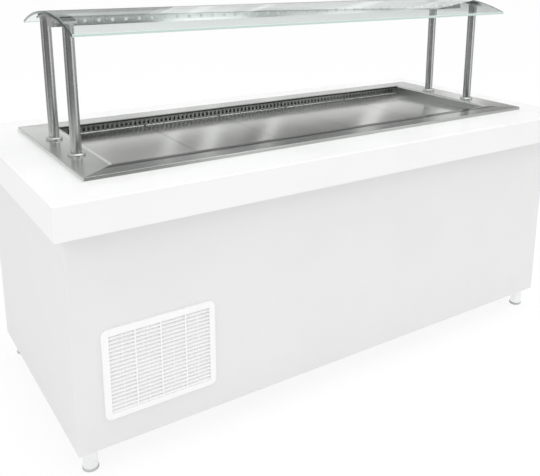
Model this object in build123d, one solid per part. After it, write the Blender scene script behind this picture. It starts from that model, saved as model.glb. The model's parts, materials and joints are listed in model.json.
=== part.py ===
import os
from math import asin, degrees, radians, sqrt, tan

from build123d import *

# Refrigerated display case. Millimetres, X along the length, customers at -Y, Z up from the floor.

# Display floor and the opening over it
plate_count = 5
plate_length = 325.7
plate_joint = 1.5
plate_sheet = 1.5
plate_skirt = 16.0
plate_gap = 1.0
notch_radius = 14.0
opening_depth = 550.0
floor_drop = 30.0

# Tank below the display floor
well_depth = 272.0
plenum = 25.0
tank_sheet = 1.5
insulation_side = 30.0
insulation_base = 40.0

# Air panels at the front and rear of the well
air_sheet = 1.5
air_end_gap = 0.5
slot_width = 9.0
slot_pitch = 18.2
slot_height = 16.0
slot_top_web = 3.0
slot_margin = 20.0
ledge_width = 15.0
return_height = 90.0
return_margin = 120.0

# Flange around the opening
end_flange = 122.0
side_flange = 95.0
flange_rise = 14.0
flange_sheet = 2.0
flange_lip = 5.0
flange_bend = 3.0
flange_corner = 6.0
stiffener_gap = 1.0

# Worktop
worktop_height = 900.0
worktop_edge = 100.0
worktop_board = 40.0
worktop_end_border = 135.0
worktop_side_border = 160.0
worktop_corner = 6.0
worktop_arris = 3.0
cutout_gap = 3.0

# Cabinet
end_overhang = 45.0
side_overhang = 85.0
body_base = 82.0
panel = 18.0
panel_arris = 1.5
angle_leg = 40.0
angle_wall = 4.0
floor_sheet = 2.0
floor_gap = 2.0
floor_vent_count = 6
floor_vent_width = 12.0
floor_vent_length = 200.0
floor_vent_pitch = 40.0

# Levelling feet
foot_clear = 3.9
foot_pad_radius = 25.0
foot_pad_height = 10.0
foot_barrel_radius = 23.0
foot_shoulder = 7.0
foot_gap = 2.0
foot_stud_radius = 8.0
foot_travel = 30.0
stud_fit = 0.1
stud_clearance = 1.0
socket_wall = 7.0
socket_height = 40.0

# Vent grille in the front panel
grille_width = 371.0
grille_height = 297.0
grille_inset = 85.0
grille_base = 91.0
grille_corner = 20.0
grille_border = 21.0
grille_proud = 8.0
grille_round = 3.0
grille_spigot = 14.0
grille_wall = 3.0
grille_fit = 1.0
grille_rows = 20
grille_columns = 8
slat_thickness = 3.0
slat_drop = 8.0
slat_depth = 13.0
slat_setback = 1.0
rib_width = 4.0
thin_rib_width = 2.5
thin_rib_setback = 4.0

# Canopy: posts, cradles, glass
post_radius = 17.0
post_wall = 2.0
post_spacing = 240.0
post_plug = 12.0
post_stud_radius = 6.0
post_stud_tail = 12.0
collar_width = 10.0
collar_height = 8.0
collar_chamfer = 3.0
collar_fit = 0.2
nut_radius = 11.0
nut_height = 8.0
washer_radius = 13.0
washer_sheet = 2.0
crest_above_worktop = 454.0
glass_overhang = 33.0
glass_chord = 532.0
glass_rise = 48.0
glass_thickness = 8.0
pad_thickness = 3.0
pad_size = 36.0
pad_fit = 0.15
cradle_thickness = 6.0
cradle_width = 40.0
cradle_reach = 30.0
cradle_boss = 6.0
spigot_length = 20.0
spigot_fit = 0.2

# Light channel under the glass
channel_width = 56.0
channel_height = 30.0
channel_sheet = 1.5
channel_lip = 6.0
channel_seat = 0.1
lens_pitch = 45.5
lens_radius = 6.0
lens_fit = 0.2
lens_proud = 1.5
lens_strip_height = 18.0
lens_strip_thickness = 3.0
lens_margin = 40.0
diffuser_thickness = 3.0
diffuser_fit = 0.3

# Evaporator under the display floor
coil_length = 1280.0
coil_runs = 6
coil_pitch = 40.0
coil_rise = 100.0
coil_front_gap = 85.0
coil_tube_radius = 6.0
coil_fin_count = 33
coil_fin_height = 80.0
coil_fin_margin = 25.0
fin_sheet = 1.0
fin_fit = 0.15
end_plate_sheet = 3.0
end_plate_inset = 20.0

# Evaporator fans on the rear air panel
well_fan_count = 2
well_fan_pitch = 700.0
well_fan_rise = 95.0
well_fan_tip = 71.0
well_fan_hub = 22.0
well_fan_width = 22.0
well_fan_ring = 74.0
well_fan_ring_wall = 3.0
well_fan_ring_depth = 36.0
well_fan_setback = 7.0
well_motor_radius = 26.0
well_motor_length = 38.0
well_shaft_radius = 4.0
motor_arm_width = 8.0
motor_arm_thickness = 4.0

# Condensing unit behind the grille
tray_sheet = 3.0
tray_margin = 20.0
tray_rear_margin = 15.0
condenser_length = 340.0
condenser_height = 330.0
condenser_depth = 50.0
condenser_setback = 37.0
condenser_lift = 10.0
condenser_runs = 8
condenser_pitch = 36.0
condenser_tube_radius = 5.0
condenser_fin_count = 30
shroud_gap = 4.0
shroud_sheet = 2.0
shroud_ring_depth = 34.0
fan_tip = 115.0
fan_hub = 30.0
fan_width = 30.0
fan_tip_gap = 6.0
fan_blades = 5
fan_pitch_angle = 32.0
fan_blade_sheet = 2.0
motor_radius = 45.0
motor_length = 60.0
motor_gap = 5.0
motor_strap_width = 60.0
motor_strap_sheet = 4.0
shaft_radius = 5.0
shaft_fit = 0.05
shaft_end_gap = 3.0
compressor_radius = 85.0
compressor_height = 220.0
compressor_dome = 35.0
compressor_foot_length = 200.0
compressor_foot_width = 150.0
compressor_foot_sheet = 4.0
compressor_terminal = 60.0
terminal_depth = 30.0
mount_radius = 14.0
mount_height = 15.0
mount_inset = 20.0
port_radius = 9.0
port_length = 12.0
suction_rise = 140.0
suction_lead = 53.0

# Refrigerant lines
suction_radius = 6.0
liquid_radius = 4.0
discharge_radius = 5.0
line_bend = 20.0
line_reach = 45.0
riser_reach = 50.0
line_hole_gap = 1.0
drier_radius = 12.0
drier_length = 90.0
drier_lead = 40.0

# Drain
drain_x_from_door = 45.0
drain_setback = 75.0
drain_radius = 16.0
drain_wall = 3.0
drain_lip_width = 10.0
drain_lip_sheet = 2.0
drain_hole_gap = 2.0
drain_tail_radius = 14.0
drain_tail_length = 25.0
drain_tail_drop = 24.0
valve_radius = 24.0
valve_length = 60.0
valve_height = 450.0
valve_boss_radius = 12.0
valve_boss_length = 40.0
valve_stem_radius = 5.0
valve_stem_depth = 14.0
lever_gap = 1.0
lever_thickness = 6.0
lever_hub = 11.0
lever_length = 90.0
lever_width = 16.0

# Rear service door and its hinges
door_width = 500.0
door_clear = 45.0
door_edge_inset = 80.0
door_base = 48.0
door_gap = 2.5
door_slot_count = 10
door_slot_length = 300.0
door_slot_width = 8.0
door_slot_pitch = 22.0
finger_length = 100.0
finger_width = 28.0
finger_inset = 40.0
hinge_inset = 80.0
hinge_height = 70.0
hinge_leaf = 35.0
hinge_leaf_sheet = 3.0
hinge_radius = 7.0
hinge_axis_out = 8.0
hinge_pin_radius = 4.0
hinge_fit = 0.05
hinge_gap = 0.3
knuckle_share = 20.0

# Controls above the door
fascia_width = 300.0
fascia_height = 90.0
fascia_sheet = 3.0
fascia_lip = 14.0
fascia_drop = 100.0
box_depth = 70.0
box_sheet = 1.5
box_fit = 1.0
switch_width = 20.0
switch_height = 24.0
switch_side_gap = 1.0
switch_end_gap = 2.0
switch_tilt = 12.0
switch_pin_radius = 2.0
switch_pin_fit = 0.1
switch_pivot_depth = 5.0
switch_crown = 7.0
switch_keel = 5.0
switch_pitch = 45.0
switch_first = -95.0
cheek_sheet = 3.0
cheek_depth = 12.0
knob_offset = 70.0
knob_radius = 20.0
knob_height = 18.0
knob_grip = 6.0
knob_grip_rise = 6.0
knob_gap = 1.0
knob_shaft_radius = 3.0
knob_boss_wall = 5.0
knob_boss_length = 12.0
gland_x = -260.0
gland_rise = 98.0
gland_head = 14.0
gland_head_length = 12.0
gland_thread = 10.0
gland_fit = 0.2
gland_bore = 5.5
gland_nut_length = 6.0

# Places worked out from the sizes above
opening_length = plate_count * (plate_length + plate_joint)
flange_length = opening_length + 2 * end_flange
flange_depth = opening_depth + 2 * side_flange
worktop_length = flange_length + 2 * worktop_end_border
worktop_depth = flange_depth + 2 * worktop_side_border
body_length = worktop_length - 2 * end_overhang
body_depth = worktop_depth - 2 * side_overhang
body_top = worktop_height - worktop_edge
body_x = body_length / 2
body_y = body_depth / 2
inner_x = body_x - panel
inner_y = body_y - panel
board_under = worktop_height - worktop_board
flange_top = worktop_height + flange_rise
flange_under = flange_top - flange_sheet
lip_under = flange_top - flange_lip
floor_top = flange_top - floor_drop
ledge_top = floor_top - plate_skirt
tank_floor = flange_top - well_depth
tank_x = opening_length / 2
air_y = opening_depth / 2
tank_y = air_y + plenum
insulation_x = tank_x + tank_sheet + insulation_side
insulation_y = tank_y + tank_sheet + insulation_side
cabinet_floor_top = body_base + angle_wall + floor_sheet
socket_radius = foot_stud_radius + stud_fit + socket_wall
foot_x = inner_x - 2 * angle_wall - foot_clear - socket_radius
foot_y = inner_y - 2 * angle_wall - foot_clear - socket_radius
tray_top = cabinet_floor_top + tray_sheet

post_x = tank_x + end_flange / 2
post_y = post_spacing / 2
crest = worktop_height + crest_above_worktop
glass_length = 2 * (post_x + glass_overhang)
glass_outer = (glass_chord ** 2 / 4 + glass_rise ** 2) / (2 * glass_rise)
glass_inner = glass_outer - glass_thickness
glass_axis = crest - glass_outer
cradle_outer = glass_inner - pad_thickness
cradle_inner = cradle_outer - cradle_thickness
post_top = glass_axis + sqrt(cradle_inner ** 2 - (post_y + post_radius) ** 2) - cradle_boss
channel_top = glass_axis + sqrt(cradle_inner ** 2 - (channel_width / 2) ** 2) - channel_seat
channel_base = channel_top - channel_height
channel_x = post_x + cradle_width / 2

grille_x = -body_x + grille_inset + grille_width / 2
grille_z = body_base + grille_base + grille_height / 2
unit_x = grille_x
coil_z = tank_floor + coil_rise
coil_x = coil_length / 2
coil_front_y = -air_y + coil_front_gap
coil_rear_y = coil_front_y + (coil_runs - 1) * coil_pitch
riser_x = -coil_x - riser_reach
condenser_y = -inner_y + condenser_setback + condenser_depth / 2
condenser_base = tray_top + condenser_lift
condenser_z = condenser_base + condenser_height / 2
condenser_first = condenser_z - (condenser_runs - 1) * condenser_pitch / 2
condenser_last = condenser_z + (condenser_runs - 1) * condenser_pitch / 2
condenser_end = unit_x + condenser_length / 2
shroud_y = condenser_y + condenser_depth / 2 + shroud_gap
fan_y = shroud_y + shroud_sheet
fan_front_y = fan_y + motor_gap
motor_y = fan_front_y + fan_width + motor_gap
compressor_base = tray_top + mount_height + compressor_foot_sheet
suction_y = coil_rear_y + suction_lead
compressor_y = suction_y + port_length + compressor_radius
suction_z = compressor_base + suction_rise
line_x = condenser_end + line_reach
tray_rear = compressor_y + compressor_foot_width / 2 + tray_rear_margin
tray_x = max(condenser_length, compressor_foot_length) / 2 + tray_margin

door_left = -body_x + door_edge_inset
door_right = door_left + door_width
door_low = body_base + door_base
fascia_z = body_top - fascia_drop
door_high = fascia_z - fascia_height / 2 - door_clear
hinge_x = door_left - door_gap / 2
hinge_y = body_y + hinge_axis_out
drain_x = door_right - drain_x_from_door
drain_y = air_y - drain_setback
drain_tail_end = body_base - drain_tail_drop
fascia_x = door_left + fascia_width / 2 + fascia_lip
fascia_face = body_y + fascia_sheet
pivot_y = fascia_face - switch_pivot_depth
gland_z = body_base + gland_rise


def block(xa, xb, ya, yb, za, zb):
    centre = Pos((xa + xb) / 2, (ya + yb) / 2, (za + zb) / 2)
    return centre * Box(abs(xb - xa), abs(yb - ya), abs(zb - za))


def rod(start, end, radius):
    way = Vector(*end) - Vector(*start)
    return extrude(Plane(origin=start, z_dir=way) * Circle(radius), way.length)


def ring(start, end, outer, inner):
    return rod(start, end, outer) - rod(start, end, inner)


def group(solids):
    return Compound(children=[one if isinstance(one, Solid) else one.solid() for one in solids])


def corners(x, y):
    return [(sx * x, sy * y) for sx in (-1, 1) for sy in (-1, 1)]


def pipe(points, radius, bend=line_bend):
    path = FilletPolyline(*points, radius=bend)
    section = Plane(origin=path @ 0, z_dir=path % 0) * Circle(radius)
    return sweep(section, path=path)


def frame_shell(outer_x, outer_y, inner_x_half, inner_y_half, low, high):
    solid = block(-outer_x, outer_x, -outer_y, outer_y, low, high)
    return solid - block(-inner_x_half, inner_x_half, -inner_y_half, inner_y_half, low, high)


def upright_edges(part, x, y):
    # the vertical edges that stand on the corners of a rectangle
    found = part.edges().filter_by(Axis.Z)
    return [e for e in found if abs(abs(e.center().X) - x) < 0.01 and abs(abs(e.center().Y) - y) < 0.01]


def arc_band(low_radius, high_radius, from_angle, to_angle):
    # a strip of the canopy's arch in the YZ plane, angles measured from the crest towards +Y
    turn = to_angle - from_angle
    low = CenterArc((0, glass_axis), low_radius, 90 - to_angle, turn)
    high = CenterArc((0, glass_axis), high_radius, 90 - to_angle, turn)
    return Plane.YZ * make_face([low, Line(low @ 1, high @ 1), high, Line(high @ 0, low @ 0)])


# Steel frame: each angle is two flat bars welded along the corner

def angle_x(y, inward, z, upward):
    flat = block(-inner_x, inner_x, y, y + inward * angle_leg, z, z + upward * angle_wall)
    web = block(-inner_x, inner_x, y, y + inward * angle_wall, z + upward * angle_wall, z + upward * angle_leg)
    return [flat, web]


def angle_y(x, inward, z, upward):
    reach = inner_y - angle_leg
    flat = block(x, x + inward * angle_leg, -reach, reach, z, z + upward * angle_wall)
    web = block(x, x + inward * angle_wall, -reach, reach, z + upward * angle_wall, z + upward * angle_leg)
    return [flat, web]


def base_frame():
    studs = [rod((x, y, body_base), (x, y, body_base + angle_wall), foot_stud_radius + stud_clearance)
             for x, y in corners(foot_x, foot_y)]
    rails = []
    for side in (-1, 1):
        flat, web = angle_x(side * inner_y, -side, body_base, 1)
        rails += [flat - studs, web]
        rails += angle_y(side * inner_x, -side, body_base, 1)
    reach = inner_y - angle_leg
    for x in (-inner_x / 3, inner_x / 3):
        rails.append(block(x - angle_leg / 2, x + angle_leg / 2, -reach, reach, body_base, body_base + angle_wall))
    seat = body_base + angle_wall
    bore = foot_stud_radius + stud_fit
    for x, y in corners(foot_x, foot_y):
        rails.append(ring((x, y, seat), (x, y, seat + socket_height), socket_radius, bore))
    return group(rails)


def upper_frame():
    low = body_base + angle_wall
    high = body_top - angle_wall
    posts = []
    for x, y in corners(inner_x - angle_wall, inner_y - angle_wall):
        in_x = -1 if x > 0 else 1
        in_y = -1 if y > 0 else 1
        posts.append(block(x, x + in_x * angle_leg, y, y + in_y * angle_wall, low, high))
        posts.append(block(x, x + in_x * angle_wall, y + in_y * angle_wall, y + in_y * angle_leg, low, high))
    for x, y in corners(inner_x / 3, inner_y - angle_wall):
        in_y = -1 if y > 0 else 1
        posts.append(block(x - angle_leg / 2, x + angle_leg / 2, y, y + in_y * angle_wall, low, high))
    for side in (-1, 1):
        posts += angle_x(side * inner_y, -side, body_top, -1)
        posts += angle_y(side * inner_x, -side, body_top, -1)
    return group(posts)


def cabinet_floor():
    low = body_base + angle_wall
    x = inner_x - 2 * angle_wall - floor_gap
    y = inner_y - 2 * angle_wall - floor_gap
    sheet = block(-x, x, -y, y, low, low + floor_sheet)
    notch_x = min(inner_x - angle_wall - angle_leg, foot_x - socket_radius) - floor_gap
    notch_y = min(inner_y - angle_wall - angle_leg, foot_y - socket_radius) - floor_gap
    for sx, sy in corners(1, 1):
        sheet -= block(sx * notch_x, sx * inner_x, sy * notch_y, sy * inner_y, low, low + floor_sheet)
    sheet -= rod((drain_x, drain_y, low), (drain_x, drain_y, low + floor_sheet), drain_radius + drain_hole_gap)
    vents = []
    for row in range(floor_vent_count):
        y = tray_rear + floor_vent_pitch * (row + 0.5)
        vents.append(block(unit_x - floor_vent_length / 2, unit_x + floor_vent_length / 2,
                           y - floor_vent_width / 2, y + floor_vent_width / 2, low, low + floor_sheet))
    room = inner_y - 2 * angle_wall - floor_gap - floor_vent_width
    return sheet - [v for v in vents if v.center().Y < room]


# Levelling feet

def levelling_foot(x, y):
    barrel_top = body_base - foot_gap
    stud_top = body_base + angle_wall + socket_height + foot_travel
    chamfer_size = foot_pad_radius - foot_barrel_radius
    outline = [(0, 0), (foot_barrel_radius, 0), (foot_pad_radius, chamfer_size),
               (foot_pad_radius, foot_pad_height - chamfer_size), (foot_barrel_radius, foot_pad_height),
               (foot_barrel_radius, barrel_top - foot_shoulder),
               (foot_barrel_radius - foot_shoulder, barrel_top),
               (foot_stud_radius, barrel_top), (foot_stud_radius, stud_top), (0, stud_top)]
    half = Plane.XZ * make_face(Polyline(*outline, close=True))
    return Pos(x, y, 0) * revolve(half, Axis.Z)


# Cabinet panels

def front_panel():
    board = block(-body_x, body_x, -body_y, -inner_y, body_base, body_top)
    board = chamfer(upright_edges(board, body_x, body_y), panel_arris)
    half_w = grille_width / 2 - grille_border + grille_wall + grille_fit
    half_h = grille_height / 2 - grille_border + grille_wall + grille_fit
    return board - block(grille_x - half_w, grille_x + half_w, -body_y, -inner_y,
                         grille_z - half_h, grille_z + half_h)


def end_panel(side):
    return block(side * inner_x, side * body_x, -inner_y, inner_y, body_base, body_top)


def rear_panel():
    board = block(-body_x, body_x, inner_y, body_y, body_base, body_top)
    board = chamfer(upright_edges(board, body_x, body_y), panel_arris)
    board -= block(door_left - door_gap, door_right + door_gap, inner_y, body_y,
                   door_low - door_gap, door_high + door_gap)
    half_w = fascia_width / 2 - fascia_lip + box_fit
    half_h = fascia_height / 2 - fascia_lip + box_fit
    board -= block(fascia_x - half_w, fascia_x + half_w, inner_y, body_y, fascia_z - half_h, fascia_z + half_h)
    return board - rod((gland_x, inner_y, gland_z), (gland_x, body_y, gland_z), gland_thread + gland_fit)


def vent_grille():
    front = -body_y - grille_proud
    open_w = grille_width - 2 * grille_border
    open_h = grille_height - 2 * grille_border
    face = Plane(origin=(grille_x, front, grille_z), x_dir=(1, 0, 0), z_dir=(0, -1, 0))
    outline = RectangleRounded(grille_width, grille_height, grille_corner)
    rim = extrude(face * outline, -grille_proud)
    rim = fillet(rim.edges().group_by(Axis.Y)[0], grille_round)
    sleeve = extrude(face * Rectangle(open_w + 2 * grille_wall, open_h + 2 * grille_wall),
                     -grille_proud - grille_spigot)
    rim = rim + sleeve - extrude(face * Rectangle(open_w, open_h), -grille_proud - grille_spigot)
    pitch = open_h / grille_rows
    slats = []
    for row in range(grille_rows):
        z = grille_z - open_h / 2 + pitch * (row + 0.5) - slat_drop / 2
        y = front + slat_setback
        profile = Polyline((y, z - slat_thickness / 2), (y + slat_depth, z + slat_drop - slat_thickness / 2),
                           (y + slat_depth, z + slat_drop + slat_thickness / 2), (y, z + slat_thickness / 2),
                           close=True)
        slats.append(Pos(grille_x, 0, 0) * extrude(Plane.YZ * make_face(profile), open_w / 2, both=True))
    for column in range(1, grille_columns):
        x = grille_x - open_w / 2 + open_w / grille_columns * column
        thin = column % 2 == 1
        width = thin_rib_width if thin else rib_width
        start = front + (thin_rib_setback if thin else slat_setback)
        slats.append(block(x - width / 2, x + width / 2, start, front + slat_setback + slat_depth,
                           grille_z - open_h / 2, grille_z + open_h / 2))
    return rim + slats


# Worktop, flange and well

def worktop():
    x = worktop_length / 2
    y = worktop_depth / 2
    slab = block(-x, x, -y, y, body_top, worktop_height)
    slab = fillet(upright_edges(slab, x, y), worktop_corner)
    slab = fillet(slab.edges().group_by(Axis.Z)[-1], worktop_arris)
    pocket_x = inner_x - angle_leg
    pocket_y = inner_y - angle_leg
    slab -= block(-pocket_x, pocket_x, -pocket_y, pocket_y, body_top, board_under)
    cut_x = insulation_x + cutout_gap
    cut_y = insulation_y + cutout_gap
    slab -= block(-cut_x, cut_x, -cut_y, cut_y, board_under, worktop_height)
    return slab - post_holes(board_under, worktop_height)


def post_holes(low, high):
    return [rod((x, y, low), (x, y, high), post_stud_radius + stud_clearance)
            for x, y in corners(post_x, post_y)]


def well_flange():
    x = flange_length / 2
    y = flange_depth / 2
    shell = block(-x, x, -y, y, worktop_height, flange_top)
    shell = fillet(upright_edges(shell, x, y), flange_corner)
    shell = fillet(shell.edges().group_by(Axis.Z)[-1], flange_bend)
    hollow_x = x - flange_sheet
    hollow_y = y - flange_sheet
    lip_x = tank_x + flange_sheet
    lip_y = air_y + flange_sheet
    shell -= block(-hollow_x, hollow_x, -hollow_y, hollow_y, worktop_height, lip_under)
    shell -= frame_shell(hollow_x, hollow_y, lip_x, lip_y, lip_under, flange_under)
    shell -= block(-tank_x, tank_x, -air_y, air_y, lip_under, flange_top)
    rim = [e for e in shell.edges().group_by(Axis.Z)[-1]
           if abs(e.center().X) < tank_x + 0.01 and abs(e.center().Y) < air_y + 0.01]
    shell = fillet(rim, flange_bend)
    return shell - post_holes(flange_under, flange_top)


def flange_stiffener():
    ring_board = frame_shell(flange_length / 2 - flange_sheet - stiffener_gap,
                             flange_depth / 2 - flange_sheet - stiffener_gap,
                             tank_x + flange_sheet + stiffener_gap, tank_y + tank_sheet + stiffener_gap,
                             worktop_height, flange_under)
    return ring_board - post_holes(worktop_height, flange_under)


def line_holes(low, high):
    return [rod((riser_x, y, low), (riser_x, y, high), radius + line_hole_gap)
            for y, radius in ((coil_rear_y, suction_radius), (coil_front_y, liquid_radius))]


def well_tank():
    # five sheets, welded along their edges
    base = tank_floor - tank_sheet
    floor = block(-tank_x - tank_sheet, tank_x + tank_sheet, -tank_y - tank_sheet, tank_y + tank_sheet,
                  base, tank_floor)
    floor -= line_holes(base, tank_floor)
    floor -= rod((drain_x, drain_y, base), (drain_x, drain_y, tank_floor), drain_radius + stud_fit)
    ends = [block(side * tank_x, side * (tank_x + tank_sheet), -tank_y - tank_sheet, tank_y + tank_sheet,
                  tank_floor, lip_under) for side in (-1, 1)]
    sides = [block(-tank_x, tank_x, side * tank_y, side * (tank_y + tank_sheet), tank_floor, flange_under)
             for side in (-1, 1)]
    return group([floor] + ends + sides)


def well_insulation():
    # five boards of foam round the tank
    seat = tank_floor - tank_sheet
    base = seat - insulation_base
    top = worktop_height - stiffener_gap
    x = tank_x + tank_sheet
    y = tank_y + tank_sheet
    board = block(-insulation_x, insulation_x, -insulation_y, insulation_y, base, seat) - line_holes(base, seat)
    board -= rod((drain_x, drain_y, base), (drain_x, drain_y, seat), drain_radius + stud_fit)
    ends = [block(side * x, side * insulation_x, -y, y, seat, top) for side in (-1, 1)]
    sides = [block(-insulation_x, insulation_x, side * y, side * insulation_y, seat, top) for side in (-1, 1)]
    return group([board] + ends + sides)


def air_panel(side, low):
    x = tank_x - air_end_gap
    face = side * air_y
    back = side * (air_y + air_sheet)
    sheet = block(-x, x, face, back, low, lip_under)
    count = int((opening_length - 2 * slot_margin) / slot_pitch)
    high = lip_under - slot_top_web
    slots = []
    for n in range(count):
        middle = (n - (count - 1) / 2) * slot_pitch
        slots.append(block(middle - slot_width / 2, middle + slot_width / 2, face, back,
                           high - slot_height, high))
    return sheet - slots


def plate_ledge(side):
    x = tank_x - air_end_gap
    face = side * air_y
    return block(-x, x, face - side * ledge_width, face, ledge_top - air_sheet, ledge_top)


def fan_places():
    middle = (well_fan_count - 1) / 2
    return [((n - middle) * well_fan_pitch, tank_floor + well_fan_rise) for n in range(well_fan_count)]


def rear_air_panel():
    holes = [rod((x, air_y, z), (x, air_y + air_sheet, z), well_fan_ring) for x, z in fan_places()]
    return group([air_panel(1, tank_floor) - holes, plate_ledge(1)])


def front_air_panel():
    # it stands on a leg at each end, with the air return between them
    low = tank_floor + return_height
    far = tank_x - air_end_gap
    legs = [block(side * (tank_x - return_margin), side * far, -air_y, -air_y - air_sheet, tank_floor, low)
            for side in (-1, 1)]
    return group([air_panel(-1, low), plate_ledge(-1)] + legs)


def floor_plate(number):
    pitch = plate_length + plate_joint
    x = (number - (plate_count + 1) / 2) * pitch
    half_x = plate_length / 2
    half_y = air_y - plate_gap
    plate = block(x - half_x, x + half_x, -half_y, half_y, floor_top - plate_skirt, floor_top)
    plate -= block(x - half_x + plate_sheet, x + half_x - plate_sheet, -half_y + plate_sheet,
                   half_y - plate_sheet, floor_top - plate_skirt, floor_top - plate_sheet)
    return plate - rod((x, -half_y, floor_top - plate_skirt), (x, -half_y, floor_top), notch_radius)


# Evaporator

def serpentine(runs, pitch, place):
    # place(run, end) gives a point of the coil, end 0 at the connected side
    points = []
    for run in range(runs):
        ends = (0, 1) if run % 2 == 0 else (1, 0)
        points += [place(run * pitch, end) for end in ends]
    return points


def evaporator_tubes():
    turn = coil_x + coil_pitch / 2

    def place(offset, end):
        return (turn if end else -turn, coil_front_y + offset, coil_z)

    points = serpentine(coil_runs, coil_pitch, place)
    points[0] = (-coil_x, coil_front_y, coil_z)
    points[-1] = (-coil_x, coil_rear_y, coil_z)
    return pipe(points, coil_tube_radius, coil_pitch / 2 - fin_sheet / 2)


def evaporator_fins():
    middle = (coil_front_y + coil_rear_y) / 2
    half = (coil_rear_y - coil_front_y) / 2 + coil_fin_margin
    holes = [Pos(coil_front_y + run * coil_pitch - middle, 0) * Circle(coil_tube_radius + fin_fit)
             for run in range(coil_runs)]
    face = Plane(origin=(0, middle, coil_z), x_dir=(0, 1, 0), z_dir=(1, 0, 0))
    fin = extrude(face * (Rectangle(2 * half, coil_fin_height) - holes), fin_sheet / 2, both=True)
    first = coil_x - end_plate_inset
    step = 2 * first / (coil_fin_count + 1)
    fins = [Pos(-first + step * (n + 1), 0, 0) * fin for n in range(coil_fin_count)]
    drop = coil_z - coil_fin_height / 2 - tank_floor
    tall = Pos(0, -drop / 2) * Rectangle(2 * half, coil_fin_height + drop) - holes
    plate = extrude(face * tall, end_plate_sheet / 2, both=True)
    return group(fins + [Pos(-first, 0, 0) * plate, Pos(first, 0, 0) * plate])


# Fans: built along +Z from the motor side, then turned to blow along +Y

def fan(place, hub, tip, width, blades, shaft, shaft_length):
    rotor = rod((0, 0, 0), (0, 0, width), hub)
    chord = 0.9 * width / tan(radians(fan_pitch_angle))
    reach = tip - hub / 2
    blade = Pos(hub / 2 + reach / 2, 0, width / 2) * Rot(fan_pitch_angle, 0, 0) * Box(
        reach, chord, fan_blade_sheet)
    sweep_disc = rod((0, 0, 0), (0, 0, width), tip)
    for n in range(blades):
        rotor += (Rot(0, 0, 360 / blades * n) * blade) & sweep_disc
    rotor += rod((0, 0, 0), (0, 0, -shaft_length), shaft)
    return place * rotor


def well_fan_base():
    # Y of the fan hubs' motor side
    return air_y - well_fan_setback - well_fan_width


def evaporator_fan(number):
    x, z = fan_places()[number - 1]
    place = Pos(x, well_fan_base(), z) * Rot(-90, 0, 0)
    return fan(place, well_fan_hub, well_fan_tip, well_fan_width, fan_blades, well_shaft_radius,
               well_motor_length / 2)


def evaporator_fan_motors():
    start = air_y - well_fan_ring_depth
    motor_end = start + motor_arm_thickness
    bore_end = well_fan_base() - well_motor_length / 2 - shaft_end_gap
    motors = []
    for x, z in fan_places():
        motor = ring((x, start, z), (x, air_y, z), well_fan_ring + well_fan_ring_wall, well_fan_ring)
        motor += rod((x, motor_end - well_motor_length, z), (x, motor_end, z), well_motor_radius)
        arm = block(0, well_fan_ring + well_fan_ring_wall / 2, start, motor_end,
                    -motor_arm_width / 2, motor_arm_width / 2)
        for turn in (90, 210, 330):
            motor += Pos(x, 0, z) * Rot(0, turn, 0) * arm
        motor -= rod((x, bore_end, z), (x, air_y, z), well_shaft_radius + shaft_fit)
        motors.append(motor)
    return group(motors)


# Condensing unit

def unit_tray():
    front = condenser_y - condenser_depth / 2 - tray_margin / 2
    return block(unit_x - tray_x, unit_x + tray_x, front, tray_rear, cabinet_floor_top, tray_top)


def condenser_tubes():
    half = condenser_length / 2
    turn = half + condenser_pitch / 2

    def place(offset, end):
        return (unit_x - turn if end else unit_x + turn, condenser_y, condenser_first + offset)

    points = serpentine(condenser_runs, condenser_pitch, place)
    points[0] = (condenser_end, condenser_y, condenser_first)
    points[-1] = (condenser_end, condenser_y, condenser_last)
    return pipe(points, condenser_tube_radius, condenser_pitch / 2 - fin_sheet / 2)


def condenser_fins():
    holes = [Pos(0, condenser_first + run * condenser_pitch - condenser_z)
             * Circle(condenser_tube_radius + fin_fit) for run in range(condenser_runs)]
    face = Plane(origin=(unit_x, condenser_y, condenser_z), x_dir=(0, 1, 0), z_dir=(1, 0, 0))
    fin = extrude(face * (Rectangle(condenser_depth, condenser_height) - holes), fin_sheet / 2, both=True)
    first = condenser_length / 2 - end_plate_inset / 2
    step = 2 * first / (condenser_fin_count + 1)
    fins = [Pos(-first + step * (n + 1), 0, 0) * fin for n in range(condenser_fin_count)]
    tall = Pos(0, -condenser_lift / 2) * Rectangle(condenser_depth, condenser_height + condenser_lift) - holes
    plate = extrude(face * tall, end_plate_sheet / 2, both=True)
    return group(fins + [Pos(-first, 0, 0) * plate, Pos(first, 0, 0) * plate])


def fan_shroud():
    half = condenser_length / 2
    bore = fan_tip + fan_tip_gap
    plate = block(unit_x - half, unit_x + half, shroud_y, fan_y, tray_top, condenser_base + condenser_height)
    plate += rod((unit_x, shroud_y, condenser_z), (unit_x, fan_y + shroud_ring_depth, condenser_z),
                 bore + shroud_sheet)
    return plate - rod((unit_x, shroud_y, condenser_z), (unit_x, fan_y + shroud_ring_depth, condenser_z), bore)


def condenser_fan():
    place = Pos(unit_x, fan_front_y + fan_width, condenser_z) * Rot(90, 0, 0)
    return fan(place, fan_hub, fan_tip, fan_width, fan_blades, shaft_radius, motor_gap + motor_length / 2)


def condenser_fan_motor():
    end = motor_y + motor_length
    strap_y = motor_y + motor_length / 2
    motor = rod((unit_x, motor_y, condenser_z), (unit_x, end, condenser_z), motor_radius)
    motor += block(unit_x - motor_strap_width / 2, unit_x + motor_strap_width / 2,
                   strap_y - motor_strap_sheet / 2, strap_y + motor_strap_sheet / 2, tray_top, condenser_z)
    bore_end = strap_y + shaft_end_gap
    return motor - rod((unit_x, motor_y, condenser_z), (unit_x, bore_end, condenser_z), shaft_radius + shaft_fit)


def mount_places():
    x = compressor_foot_length / 2 - mount_inset
    y = compressor_foot_width / 2 - mount_inset
    return [(unit_x + px, compressor_y + py) for px, py in corners(x, y)]


def compressor_mounts():
    return group([rod((x, y, tray_top), (x, y, tray_top + mount_height), mount_radius)
                  for x, y in mount_places()])


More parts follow.
